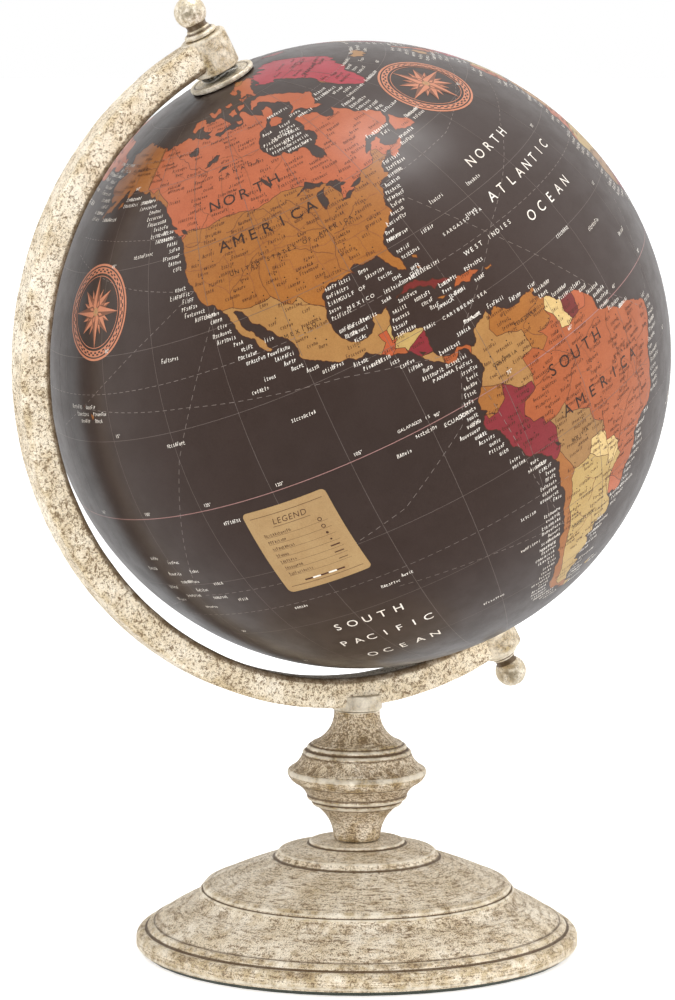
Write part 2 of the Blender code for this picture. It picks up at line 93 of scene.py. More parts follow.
# Turns a piece made about the upright axis onto the pole axis, or end for end onto the south side
NORTH_SIDE = Matrix.Rotation(-TILT, 3, "Y")
SOUTH_SIDE = Matrix.Rotation(-TILT, 3, "Y") @ Matrix.Rotation(math.pi, 3, "X")


# ---- finishes


class Shade:
    """A value in a finish. Arithmetic on it adds Math nodes."""

    def __init__(self, finish, socket):
        self.finish = finish
        self.socket = socket

    def __add__(self, other):
        return self.finish.sum("ADD", self, other)

    def __radd__(self, other):
        return self.finish.sum("ADD", other, self)

    def __sub__(self, other):
        return self.finish.sum("SUBTRACT", self, other)

    def __rsub__(self, other):
        return self.finish.sum("SUBTRACT", other, self)

    def __mul__(self, other):
        return self.finish.sum("MULTIPLY", self, other)

    def __rmul__(self, other):
        return self.finish.sum("MULTIPLY", other, self)

    def between(self, low, high):
        """0 below low, 1 above high and a smooth change from one to the other."""
        settings = {"interpolation_type": "SMOOTHSTEP"}
        return self.finish.node("MapRange", settings, Value=self, From_Min=low, From_Max=high)


class Wiring:
    """The nodes of one tree and what goes into their sockets."""

    def __init__(self, tree):
        self.tree = tree

    def plug(self, value, socket):
        if isinstance(value, Shade):
            self.tree.links.new(value.socket, socket)
        elif socket.type == "RGBA" and len(value) == 3:
            socket.default_value = (*value, 1.0)
        else:
            socket.default_value = value

    def node(self, kind, settings=None, output=0, **sockets):
        """Any node: its type, its settings, and the values or links of its sockets by name or number."""
        made = self.tree.nodes.new("ShaderNode" + kind)
        for name, value in (settings or {}).items():
            setattr(made, name, value)
        for name, value in sockets.items():
            key = int(name[1:]) if name[1:].isdigit() else name.replace("_", " ")
            self.plug(value, made.inputs[key])
        return Shade(self, made.outputs[output])

    def sum(self, operation, first, second):
        return self.node("Math", {"operation": operation}, _0=first, _1=second)


class Finish(Wiring):
    """A material wired round one Principled shader, whose constants are set on its own sockets."""

    def __init__(self, name, **constants):
        self.material = bpy.data.materials.new(name)
        self.material.use_nodes = True
        super().__init__(self.material.node_tree)
        self.shader = self.tree.nodes["Principled BSDF"]
        self.set(**constants)

    def set(self, **values):
        for name, value in values.items():
            self.plug(value, self.shader.inputs[name.replace("_", " ")])

    def mix(self, factor, first, second, blend="MIX"):
        settings = {"data_type": "RGBA", "blend_type": blend}
        return self.node("Mix", settings, 2, _0=factor, _6=first, _7=second)

    def place(self):
        return self.node("TexCoord", output=3)

    def stretch(self, vector, scale):
        return self.node("VectorMath", {"operation": "MULTIPLY"}, _0=vector, _1=scale)

    def cloud(self, vector, size_mm, detail=2.0, roughness=0.5):
        """Soft noise whose blotches are about size_mm across."""
        return self.node("TexNoise", Vector=vector, Scale=1.0 / (size_mm * MM), Detail=detail, Roughness=roughness)

    def grain(self, vector, size_mm):
        return self.node("TexVoronoi", {"feature": "F1"}, Vector=vector, Scale=1.0 / (size_mm * MM))

    def value(self, name):
        return self.node("Attribute", {"attribute_name": name}, 2)

    def raise_by(self, height, distance_mm, strength=1.0):
        bump = self.node("Bump", Height=height, Distance=distance_mm * MM, Strength=strength)
        self.set(Normal=bump)


def lacquered_map(look):
    """Printed and varnished paper: each ink is mottled, and the varnish is a smooth coat over it."""
    finish = Finish("lacquered_map", Coat_Weight=look.varnish, Coat_Roughness=0.24, Specular_IOR_Level=0.28)
    place = finish.place()
    ink = finish.node("Attribute", {"attribute_name": "ink"}, 0)
    blotch = finish.cloud(place, 9.0, 4.0, 0.6).between(0.3, 0.7)
    fibre = finish.cloud(place, 0.5, 3.0, 0.7).between(0.3, 0.7)
    foxed = finish.cloud(place, 2.4, 5.0, 0.75).between(0.55, 0.75)
    aged = finish.mix(0.55 * blotch, ink, (0.84, 0.76, 0.68), "MULTIPLY")
    aged = finish.mix(0.45 * foxed, aged, (0.72, 0.58, 0.46), "MULTIPLY")
    printed = finish.mix(0.40 * fibre, aged, (0.70, 0.66, 0.62), "MULTIPLY")
    finish.set(Base_Color=printed, Roughness=0.40 + 0.10 * blotch - 0.05 * fibre)
    finish.raise_by(finish.cloud(place, 3.0, 2.0), 0.01, 0.25)
    return finish.material


def whitewash(name, look, turned=True, gold=0.0, cover=0.0):
    """Cast aluminium, rubbed cream wash: dark pits, brush lines, brown grooves, worn gold, painted edge highlight.

    Brush lines run round a turned piece, because they are read at (direction, radius + height).
    """
    finish = Finish(name, Specular_IOR_Level=0.4)
    place = finish.place()
    hollow = finish.value("hollow")
    edge = finish.value("edge")
    patch = finish.cloud(place, 15.0, 3.0, 0.6)
    small = finish.cloud(place, 4.0, 3.0, 0.6)
    pits = finish.cloud(place, look.pit_size / MM, 5.0, 0.8)
    fine = finish.cloud(place, 0.5 * look.pit_size / MM, 4.0, 0.8)
    if turned:
        flat = finish.stretch(place, (1.0, 1.0, 0.0))
        across = finish.node("VectorMath", {"operation": "LENGTH"}, 1, _0=flat)
        around = finish.node("VectorMath", {"operation": "NORMALIZE"}, 0, _0=flat)
        height = finish.node("SeparateXYZ", output=2, _0=place)
        level = finish.node("CombineXYZ", Z=(across * 0.9 + height) * 2300.0)
        line = finish.node("VectorMath", {"operation": "MULTIPLY_ADD"}, _0=around, _1=(9.0, 9.0, 0.0), _2=level)
        brushed = finish.node("TexNoise", Vector=line, Scale=1.0, Detail=4.0, Roughness=0.75)
    else:
        brushed = finish.cloud(place, 1.4, 5.0, 0.75)
    dense = cover + 0.035 * patch.between(0.35, 0.65) + 0.02 * small.between(0.35, 0.7) + 0.05 * hollow
    cream = finish.mix(0.9 * patch.between(0.30, 0.70), look.pale_wash_and_edge_highlight, look.wash)
    cream = finish.mix(0.45 * small.between(0.40, 0.75), cream, look.wash_shade)
    rub = (small + 0.25 * edge).between(0.50, 0.78) * (gold + 0.35 * edge)
    worn = finish.mix(rub, cream, look.worn_gold)
    streak = (brushed + 0.6 * dense).between(0.50, 0.64)
    worn = finish.mix(0.60 * streak, worn, look.patina_light)
    speckled = (fine + dense).between(0.53, 0.60)
    dark = finish.mix(0.60 * speckled, worn, look.patina_light)
    pitted = (pits + 0.45 * (brushed - 0.5) + dense).between(0.565, 0.62)
    dark = finish.mix(0.80 * pitted, dark, look.patina)
    # Groove brown: patina in real hollows, and painted shade where the arm's corners face the ball.
    patina_and_painted_shade = (hollow * (0.75 + 0.7 * small)).between(0.15, 0.9)
    with_patina_and_shade = finish.mix(0.9 * patina_and_painted_shade, dark, look.groove_patina_and_shade)
    # Painted highlight: edges and beads are lightened towards the pale wash.
    rim = (edge * (1.5 - 1.2 * small)).between(0.5, 1.0)
    with_edge_highlight = finish.mix(0.8 * rim, with_patina_and_shade, look.pale_wash_and_edge_highlight)
    finish.set(Base_Color=with_edge_highlight, Metallic=0.06 + 0.35 * rub, Roughness=0.52 - 0.14 * rub + 0.15 * pitted)
    finish.raise_by(pits * 0.6 + brushed * 0.4 + small * 0.5 - 0.6 * pitted - 0.3 * speckled, 0.14, 0.75)
    return finish.material


def champagne(name, look):
    """Pale gold plating with a few dark freckles, soft polishing marks and a painted highlight on its edges."""
    finish = Finish(name, Specular_IOR_Level=0.5)
    place = finish.place()
    edge = finish.value("edge")
    hollow = finish.value("hollow")
    soft = finish.cloud(place, 2.6, 4.0, 0.65)
    freckle = (finish.cloud(place, 0.8, 5.0, 0.8) + 0.10 * soft).between(0.55, 0.68)
    colour = finish.mix(soft.between(0.40, 0.62), look.plate, look.pale_wash_and_edge_highlight)
    colour = finish.mix(0.65 * freckle, colour, look.patina)
    colour = finish.mix(0.9 * hollow.between(0.2, 0.8), colour, look.groove_patina_and_shade)
    # Painted highlight: edges are lightened towards the pale wash.
    colour = finish.mix(0.4 * edge, colour, look.pale_wash_and_edge_highlight)
    bare = 1.0 - soft.between(0.40, 0.62)
    finish.set(Base_Color=colour)
    finish.set(Metallic=0.30 + 0.45 * bare - 0.2 * freckle, Roughness=0.30 + 0.22 * soft + 0.2 * freckle)
    finish.raise_by(soft * 0.8 - 0.5 * freckle, 0.16, 0.6)
    return finish.material


def zinc_steel():
    """Bright zinc plate with a faint spangle and a few dull scuffs."""
    finish = Finish("zinc_steel")
    place = finish.place()
    spangle = finish.grain(place, 1.6)
    scuff = finish.cloud(place, 2.2, 4.0, 0.7).between(0.45, 0.7)
    colour = finish.mix(0.5 * spangle, (0.62, 0.63, 0.62), (0.44, 0.46, 0.48))
    colour = finish.mix(0.4 * scuff, colour, (0.30, 0.29, 0.27))
    finish.set(Base_Color=colour, Metallic=0.95 - 0.3 * scuff, Roughness=0.26 + 0.3 * scuff)
    finish.raise_by(spangle, 0.02, 0.3)
    return finish.material


def moulded_nylon():
    """Off-white nylon, slightly cloudy, with a fine spark-eroded grain."""
    finish = Finish("moulded_nylon")
    place = finish.place()
    cloudy = finish.cloud(place, 3.0, 3.0)
    eroded = finish.cloud(place, 0.25, 3.0, 0.7)
    colour = finish.mix(cloudy.between(0.3, 0.7), (0.80, 0.77, 0.70), (0.70, 0.66, 0.58))
    finish.set(Base_Color=colour, Roughness=0.45 + 0.2 * eroded)
    finish.raise_by(eroded, 0.02, 0.6)
    return finish.material


def paper_board():
    """Grey-brown paper board with long fibres."""
    finish = Finish("paper_board")
    place = finish.place()
    fibre = finish.cloud(finish.stretch(place, (0.25, 0.25, 1.0)), 0.4, 4.0, 0.75)
    colour = finish.mix(fibre.between(0.35, 0.7), (0.42, 0.33, 0.22), (0.27, 0.20, 0.13))
    finish.set(Base_Color=colour, Roughness=0.78 + 0.12 * fibre)
    finish.raise_by(fibre, 0.05, 0.8)
    return finish.material


def base_felt():
    """Dense green-black felt: short fibres in every direction, with lint and worn patches."""
    finish = Finish("base_felt", Sheen_Weight=0.25, Sheen_Roughness=0.6)
    place = finish.place()
    fibre = finish.cloud(place, 0.35, 5.0, 0.8)
    tuft = finish.cloud(place, 5.0, 4.0, 0.6)
    lint = finish.cloud(finish.stretch(place, (1.0, 0.3, 1.0)), 0.25, 2.0).between(0.72, 0.8)
    colour = finish.mix(fibre.between(0.3, 0.7), (0.026, 0.034, 0.028), (0.075, 0.088, 0.070))
    colour = finish.mix(0.4 * tuft.between(0.4, 0.75), colour, (0.05, 0.05, 0.045))
    colour = finish.mix(0.5 * lint, colour, (0.35, 0.34, 0.31))
    finish.set(Base_Color=colour, Roughness=0.9 + 0.08 * fibre)
    finish.raise_by(fibre + 0.4 * tuft, 0.25, 0.9)
    return finish.material


# ---- meshes


def piece(name, points, faces, material, body, normals=None, values=None, crease=32.0):
    """A mesh object at the origin from its points and one or more arrays of faces, each of one length.

    normals are given for each point where a print follows the ball; values are numbers for each point.
    """
    mesh = bpy.data.meshes.new(name)
    sizes = np.concatenate([np.full(len(part), part.shape[1]) for part in faces])
    corners = np.concatenate([part.ravel() for part in faces]).astype(np.int32)
    mesh.vertices.add(len(points))
    mesh.vertices.foreach_set("co", np.ascontiguousarray(points, np.float32).ravel())
    mesh.loops.add(len(corners))
    mesh.loops.foreach_set("vertex_index", corners)
    mesh.polygons.add(len(sizes))
    mesh.polygons.foreach_set("loop_start", (np.cumsum(sizes) - sizes).astype(np.int32))
    mesh.update(calc_edges=True)
    for title, numbers in (values or {}).items():
        mesh.attributes.new(title, "FLOAT", "POINT").data.foreach_set("value", numbers.astype(np.float32))
    mesh.materials.append(material)
    mesh.shade_smooth()
    if normals is None:
        mesh.set_sharp_from_angle(angle=math.radians(crease))
    else:
        mesh.normals_split_custom_set_from_vertices(normals.astype(np.float32))
    obj = bpy.data.objects.new(name, mesh)
    bpy.context.scene.collection.objects.link(obj)
    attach(obj, body)
    return obj


def bow(start, end, rise, steps):
    """Points after start up to end on a circular arc; rise is its height to the left of the chord."""
    start = np.array(start, float)
    end = np.array(end, float)
    chord = end - start
    left = np.array((-chord[1], chord[0])) / np.linalg.norm(chord)
    radius = (chord @ chord / 4 + rise * rise) / (2 * rise)
    centre = (start + end) / 2 + left * (rise - radius)
    first = math.atan2(*(start - centre)[::-1])
    turn = (math.atan2(*(end - centre)[::-1]) - first + math.pi) % (2 * math.pi) - math.pi
    angle = first + turn * np.arange(1, steps + 1) / steps
    return list(zip(centre[0] + abs(radius) * np.cos(angle), centre[1] + abs(radius) * np.sin(angle)))


def softened(outline, radius):
    """The outline with each corner cut back by radius, or by a little under half a side, and rounded."""
    points = np.array(outline, float)
    here = points[1:-1]
    before = points[:-2] - here
    after = points[2:] - here
    reach_before = np.linalg.norm(before, axis=1)
    reach_after = np.linalg.norm(after, axis=1)
    cut = np.minimum(radius, 0.45 * np.minimum(reach_before, reach_after))[:, None]
    leave = here + before / reach_before[:, None] * cut
    join = here + after / reach_after[:, None] * cut
    middle = (leave + 2 * here + join) / 4
    inner = np.stack([leave, middle, join], 1).reshape(-1, 2)
    return np.vstack([points[:1], inner, points[-1:]])


def strips(index):
    """Quads between the neighbouring rows and columns of one or more grids of point numbers."""
    before, after = index[..., :-1, :], index[..., 1:, :]
    corners = [before[..., :-1], before[..., 1:], after[..., 1:], after[..., :-1]]
    return np.stack(corners, -1).reshape(-1, 4)


def relief(outline, reach, depth):
    """How hollow and how proud each point of an outline is.

    The middle of the chord from reach before a point to reach after it stands outside the metal in a
    hollow and inside it on an edge; depth is the distance that counts as full.
    """
    step = np.linalg.norm(np.diff(outline, axis=0), axis=1)
    along = np.concatenate([[0.0], np.cumsum(step)])
    ahead = np.stack([np.interp(along + reach, along, part) for part in outline.T], 1)
    behind = np.stack([np.interp(along - reach, along, part) for part in outline.T], 1)
    chord = ahead - behind
    outward = np.stack([chord[:, 1], -chord[:, 0]], 1) / np.linalg.norm(chord, axis=1)[:, None]
    rise = (((ahead + behind) / 2 - outline) * outward).sum(1) / depth
    return np.clip(rise, 0, 1), np.clip(-rise, 0, 1)


def turned(name, outline, steps, material, body, slot, side=None):
    """A solid of revolution: radius, height in millimetres carried round the upright axis.

    point(row, step) = (radius cos a, radius sin a, height), a = step of a full turn. Rows on the axis
    are one point. The outline closes on itself or along the axis, and is turned so faces look outward.
    side is the turn onto one end of the pole axis, measured from the ball's centre.
    """
    outline = np.array(outline, float)
    area = (outline[:, 0] * np.roll(outline[:, 1], -1) - np.roll(outline[:, 0], -1) * outline[:, 1]).sum()
    if area < 0:
        outline = outline[::-1]
    hollow, edge = relief(outline, reach=0.9, depth=0.22)
    rows = len(outline)
    angle = np.arange(steps) * (2 * math.pi / steps)
    radius = outline[:, :1]
    grid = np.stack([radius * np.cos(angle), radius * np.sin(angle), outline[:, 1:] + 0 * angle], -1) * MM
    index = np.arange(rows * steps).reshape(rows, steps)
    on_axis = outline[:, 0] < 1e-6
    index[on_axis] = index[on_axis, :1]
    this = np.arange(rows if not on_axis.any() else rows - 1)
    after = (this + 1) % rows
    low, high = index[this], index[after]
    quads = np.stack([low, np.roll(low, -1, 1), np.roll(high, -1, 1), high], -1)
    low_pole, high_pole = on_axis[this], on_axis[after]
    faces = [quads[~low_pole & ~high_pole].reshape(-1, 4)]
    for fans, corners in ((low_pole & ~high_pole, [0, 2, 3]), (high_pole & ~low_pole, [0, 1, 2])):
        if fans.any():
            faces.append(quads[fans][..., corners].reshape(-1, 3))
    points = grid.reshape(-1, 3)
    if side is not None:
        points = points @ np.array(side).T + CENTRE
    used, inverse = np.unique(np.concatenate([part.ravel() for part in faces]), return_inverse=True)
    splits = np.cumsum([part.size for part in faces])[:-1]
    faces = [part.reshape(-1, old.shape[1]) for part, old in zip(np.split(inverse, splits), faces)]
    values = {"hollow": np.repeat(hollow, steps)[used], "edge": np.repeat(edge, steps)[used]}
    return piece(name, points[used], faces, material, body, values=values)


# ---- stand


def tier(start, end, shoulder, sweep, shallow):
    """One tier of the base: rounded shoulder, shallow cone, and a small up-sweep to a fine bead."""
    points = bow(start, (start[0] - 1.4 * shoulder, start[1] + 1.2 * shoulder), -0.3 * shoulder, 8)
    if sweep > 0:
        low = (end[0] + 2.2 * sweep, end[1] - 1.9 * sweep)
        points += bow(points[-1], low, -shallow, 10)
        points += bow(low, (end[0] + 0.4, end[1] - 0.4), 0.25 * sweep, 8)
    return points + [end]


def base_outline():
    """The base shell all round its wall, in millimetres: rim, three tiers, centre plate, then the underside."""
    foot, plate = (corner.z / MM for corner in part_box("base_shell"))
    rim = plate - 28.5
    points = [(71.9, foot), (72.6, foot + 0.8), (72.6, foot + 2.8)]
    points += bow(points[-1], (69.5, rim - 0.3), -0.9, 10)
    points += [(69.3, rim - 0.35), (69.0, rim)]
    points += tier((69.0, rim), (51.2, rim + 12.6), 1.6, 2.4, 0.3)
    points += [(50.65, rim + 12.45)]
    points += tier((50.8, rim + 12.8), (26.3, rim + 24.2), 1.6, 0.7, 0.35)
    points += [(26.2, rim + 24.35)]
    points += tier((26.1, rim + 24.4), (16.6, plate - 1.15), 0.9, 0.0, 0.1)
    points += [(16.1, plate - 1.0), (15.7, plate - 0.9)]
    points += [(15.7, plate - 0.4), (15.3, plate)]
    outer = softened(np.array(points + [(14.6, plate), (9.0, plate), (2.9, plate)]), 0.12)
    inner = [
        (2.9, rim + 23.2), (24.1, rim + 23.2), (26.3, rim + 19.8), (45.7, rim + 11.9), (46.8, rim + 10.0),
        (53.2, rim + 4.0), (65.0, rim - 1.1), (67.0, rim - 3.5), (69.5, foot + 1.2), (69.9, foot),
    ]
    return np.vstack([outer, inner])


def stem_outline():
    """The turned stem from foot to neck: flared foot, beaded bowl, sharp flange, twin beads, waisted neck."""
    foot, top = (corner.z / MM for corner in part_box("stem_baluster"))
    bowl = foot + 11.4
    edge = foot + 22.4
    upper = top - 11.4
    points = [(7.1, foot), (7.4, foot + 0.35), (7.7, foot + 1.4)]
    points += bow(points[-1], (13.6, bowl), 1.3, 16)
    points += [(13.8, bowl + 0.05)]
    points += bow(points[-1], (14.9, bowl + 1.45), -0.42, 7)
    points += [(14.75, bowl + 1.75), (15.1, bowl + 2.0)]
    points += bow(points[-1], (16.5, bowl + 3.1), -0.45, 7)
    points += [(16.4, bowl + 3.3)]
    points += bow(points[-1], (19.3, edge - 4.0), 0.4, 10)
    points += [(19.25, edge - 3.85), (19.5, edge - 3.7)]
    points += bow(points[-1], (22.7, edge - 0.6), -0.5, 10)
    points += bow(points[-1], (22.3, edge + 1.1), -0.3, 8)
    points += [(22.0, edge + 1.3)]
    points += bow(points[-1], (17.9, upper - 3.2), 0.6, 12)
    points += [(17.75, upper - 3.1)]
    points += bow(points[-1], (17.1, upper - 1.9), -0.38, 7)
    points += [(16.75, upper - 1.8), (16.3, upper - 1.5)]
    points += bow(points[-1], (15.6, upper - 0.1), -0.38, 7)
    points += [(15.2, upper + 0.0), (14.8, upper + 0.6)]
    points += bow(points[-1], (7.5, top), 2.2, 18)
    return np.vstack([softened(np.array(points + [(2.9, top)]), 0.08), [(2.9, foot)]])


def finial_outline():
    """Ball finial above its seat at zero height: collar, bead, tapering neck and ball, hollow for the axle."""
    points = [(2.3, 0.0), (5.2, 0.0), (5.4, 0.3)]
    points += bow(points[-1], (4.9, 1.3), -0.16, 6)
    points += [(4.55, 1.4), (4.4, 1.5)]
    points += bow(points[-1], (3.75, 2.5), 0.2, 6)
    points += [(3.45, 2.7), (3.3, 3.0), (3.3, 3.7)]
    ball, middle = 5.1, 8.0
    first = math.atan2(-4.1, 3.3) + 0.06
    swing = first + (math.pi / 2 - first) * np.arange(25) / 24
    points += list(zip(ball * np.cos(swing), middle + ball * np.sin(swing)))
    points[-1] = (0.0, 13.1)
    return np.vstack([softened(np.array(points), 0.05), [(0.0, 7.8), (2.3, 6.6)]])


def cap_outline(under):
    """Pressed pole cap: a lip close to the ball, a rounded rim and a slightly dished top with one ring."""
    lip = math.sqrt((BALL_RADIUS / MM) ** 2 - 10.85**2) + 0.3
    points = [(2.6, under), (8.95, under), (9.65, lip), (10.55, lip)]
    points += bow(points[-1], (10.55, lip + 1.5), -0.3, 8)
    points += [(10.2, lip + 1.62), (9.25, under + 0.72), (8.6, under + 0.8)]
    points += [(6.9, under + 0.72), (2.6, under + 0.8)]
    return softened(np.array(points), 0.12)


def arm_middle(side):
    """Angle about the arm's centre where its middle line meets the pole axis; side is 1 north, -1 south."""
    lean = np.array((-math.sin(TILT), math.cos(TILT))) * side
    along = -ARM_SHIFT_MM * lean[0]
    reach = along + math.sqrt(along**2 + CAST_RADIUS_MM**2 - ARM_SHIFT_MM**2)
    return math.atan2(lean[1] * reach, lean[0] * reach + ARM_SHIFT_MM)


def arm_surface(material):
    """The cast arm: one closed section carried along an arc.

    The section is a rounded rectangle 9.9 by 10.6 millimetres with full cheeks; point(a, s) = centre of
    the arc + across(s) (cos a, 0, sin a) + deep(s) along Y. Slow waves of a tenth of a millimetre in a
    and s leave it as cast, and the two ends are closed by fans inside the bosses.
    """
    half = (4.95, 5.3)
    rounding = 1.5
    corner = np.radians(np.arange(0, 91, 15))
    quarter = np.stack([np.cos(corner), np.sin(corner)], 1) * rounding
    inner = np.array(half) - rounding
    run = np.array((0.75, 0.5, 0.25, 0.0, -0.25, -0.5, -0.75))
    cheek = 0.10 * (1 - run**2)
    first = quarter + inner
    side_one = np.stack([run * inner[0], half[1] + cheek], 1)
    second = quarter @ np.array(((0.0, 1.0), (-1.0, 0.0))) + inner * (-1, 1)
    side_two = np.stack([-half[0] + 0 * run, run * inner[1]], 1)
    loop = np.vstack([first, side_one, second, side_two])
    loop = np.vstack([loop, -loop])
    start = arm_middle(-1.0)
    sweep = (arm_middle(1.0) - start) % (2 * math.pi) - 2 * math.pi
    stations = 240
    turn = start + sweep * np.arange(stations + 1) / stations
    around = np.arange(len(loop)) * (2 * math.pi / len(loop))
    wave = 0.05 * np.sin(31 * turn[:, None] + 2 * around) + 0.04 * np.sin(57 * turn[:, None] - 3 * around)
    scale = 1 - (0.03 + np.maximum(wave, -0.08) * 0.5 + 0.045) / 5.0
    count = len(loop)
    across = np.append(ARM_RADIUS_MM + loop[:, 0] * scale, np.full((stations + 1, 1), ARM_RADIUS_MM), 1)
    deep = np.append(loop[:, 1] * scale, np.zeros((stations + 1, 1)), 1)
    shift = np.array((-ARM_SHIFT_MM, 0.0, CENTRE[2] / MM))
    grid = shift + np.stack([across * np.cos(turn[:, None]), deep, across * np.sin(turn[:, None])], -1)
    points = grid[:, :-1].reshape(-1, 3)
    ends = grid[[0, -1], -1]
    index = np.arange(len(points)).reshape(stations + 1, count)
    quads = np.stack([index[:-1], index[1:], np.roll(index[1:], -1, 1), np.roll(index[:-1], -1, 1)], -1)
    fan = np.stack([np.full(count, len(points)), index[0], np.roll(index[0], -1)], -1)
    last = np.stack([np.full(count, len(points) + 1), np.roll(index[-1], -1), index[-1]], -1)
    bend = np.abs(np.sin(2 * np.arctan2(loop[:, 1], loop[:, 0])))
    corners = np.isin(np.arange(count) % (count // 2), np.r_[0:7, 14:21])
    edge = np.tile(np.where(corners, 0.30 + 0.25 * bend, 0.0), stations + 1)
    # Painted shade: the corners on the side facing the ball get hollow values, which darken them with the groove brown.
    hollow = np.tile(np.where(corners & (loop[:, 0] < 0), 0.7 * bend, 0.0), stations + 1)
    values = {"edge": np.append(edge, (0, 0)), "hollow": np.append(hollow, (0, 0))}
    faces = [quads.reshape(-1, 4), fan, last]
    points = np.vstack([points, ends]) * MM
    return piece("arm_bar", points, faces, material, "stand", values=values, crease=60)


def boss_outline(radius, low, high, edge):
    """A short round boss with rounded rims."""
    points = [(0.0, low), (radius - edge, low)]
    points += bow(points[-1], (radius, low + edge), -0.29 * edge, 6)
    points += [(radius, high - edge)]
    points += bow(points[-1], (radius - edge, high), -0.29 * edge, 6)
    return points + [(0.0, high)]


# ---- operators of the stand


class GLOBE_OT_base(bpy.types.Operator):
    """Make the stepped base shell with its bead lines, and finish the felt under it"""

    bl_idname = "globe.base"
    bl_label = "Base"

    def execute(self, context):
        look = context.scene.globe_stand
        material = whitewash("base_whitewash", look, gold=0.30, cover=0.015)
        shell = turned("stepped_base", base_outline(), look.steps_round, material, "stand", "cast")
        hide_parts("base_shell")
        dress(base_felt(), "base_felt_disc")
        return {"FINISHED"}


class GLOBE_OT_stem(bpy.types.Operator):
    """Make the turned stem between the base and the arm"""

    bl_idname = "globe.stem"
    bl_label = "Stem"

    def execute(self, context):
        look = context.scene.globe_stand
        material = whitewash("stem_whitewash", look, gold=0.70, cover=0.045)
        stem = turned("turned_stem", stem_outline(), 144, material, "stand", "cast")
        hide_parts("stem_baluster")
        return {"FINISHED"}


class GLOBE_OT_arm(bpy.types.Operator):
    """Make the cast arm: its curved bar, the boss at each pole and the boss on the stem"""

    bl_idname = "globe.arm"
    bl_label = "Arm"

    def execute(self, context):
        look = context.scene.globe_stand
        material = whitewash("arm_whitewash", look, turned=False, gold=0.14)
        bar = arm_surface(material)
        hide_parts("meridian_arm")
        rim = boss_levels()
        ends = whitewash("boss_whitewash", look, turned=False, gold=0.45, cover=0.03)
        for name, side, low, high in (
            ("north_boss", NORTH_SIDE, rim["north_inner"], rim["north_outer"]),
            ("south_boss", SOUTH_SIDE, rim["south_inner"], rim["south_outer"]),
        ):
            outline = boss_outline(7.58, low, high, 1.1)
            turned(name, outline, 96, ends, "stand", "cast", side)
        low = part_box("stem_baluster")[1].z / MM + 0.3
        outline = boss_outline(8.2, low, low + 5.0, 0.35)
        turned("stem_boss", outline, 96, ends, "stand", "cast")
        return {"FINISHED"}


class GLOBE_OT_finials(bpy.types.Operator):
    """Make the two ball finials that hold the axle's ends"""

    bl_idname = "globe.finials"
    bl_label = "Finials"

    def execute(self, context):
        material = champagne("finial_plating", context.scene.globe_stand)
        rim = boss_levels()
        for name, side, seat in (
            ("north_finial", NORTH_SIDE, rim["north_outer"] + 0.3),
            ("south_finial", SOUTH_SIDE, rim["south_outer"] + 0.3),
        ):
            outline = finial_outline() + (0.0, seat)
            made = turned(name + "_ball", outline, 96, material, "stand", "brass", side)
            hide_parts(name)
        return {"FINISHED"}


class GLOBE_OT_pole_cap(bpy.types.Operator):
    """Make the pressed cap that turns with the ball at its north pole"""

    bl_idname = "globe.pole_cap"
    bl_label = "Pole cap"

    def execute(self, context):
        material = champagne("cap_plating", context.scene.globe_stand)
        outline = cap_outline(BALL_RADIUS / MM + 0.3)
        cap = turned("pressed_cap", outline, 128, material, "globe", "brass", NORTH_SIDE)
        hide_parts("north_pole_cap")
        return {"FINISHED"}


class GLOBE_OT_hardware(bpy.types.Operator):
    """Finish the axle, bushes, washers, tie rod and joint band that come with the frame"""

    bl_idname = "globe.hardware"
    bl_label = "Axle, washers and tie rod"

    def execute(self, context):
        steel = zinc_steel()
        nylon = moulded_nylon()
        steel_nodes = (
            "axle_rod", "north_wave_washer", "stem_tie_rod", "stem_locating_pin", "tie_rod_washer",
            "tie_rod_spring_washer", "tie_rod_nut",
        )
        dress(steel, *steel_nodes)
        dress(nylon, "north_pole_bush", "south_pole_bush", "south_thrust_washer")
        dress(paper_board(), "equator_joint_band")
        return {"FINISHED"}


def dress(material, *nodes):
    """Puts a finish on nodes of the frame."""
    for node in nodes:
        slots = frame["nodes"][node].data.materials
        slots.clear()
        slots.append(material)


def boss_levels():
    """Where the faces of the two end bosses are, in millimetres from the ball's centre along its axis."""
    across = math.sqrt(ARM_OUTSIDE_MM**2 - (ARM_SHIFT_MM * math.cos(TILT)) ** 2)
    offset = ARM_SHIFT_MM * math.sin(TILT)
    ball = BALL_RADIUS / MM
    return {
        "north_inner": ball + 3.2,
        "north_outer": across + offset + 0.4,
        "south_inner": ball + 1.45,
        "south_outer": across - offset + 0.4,
    }


# ---- map

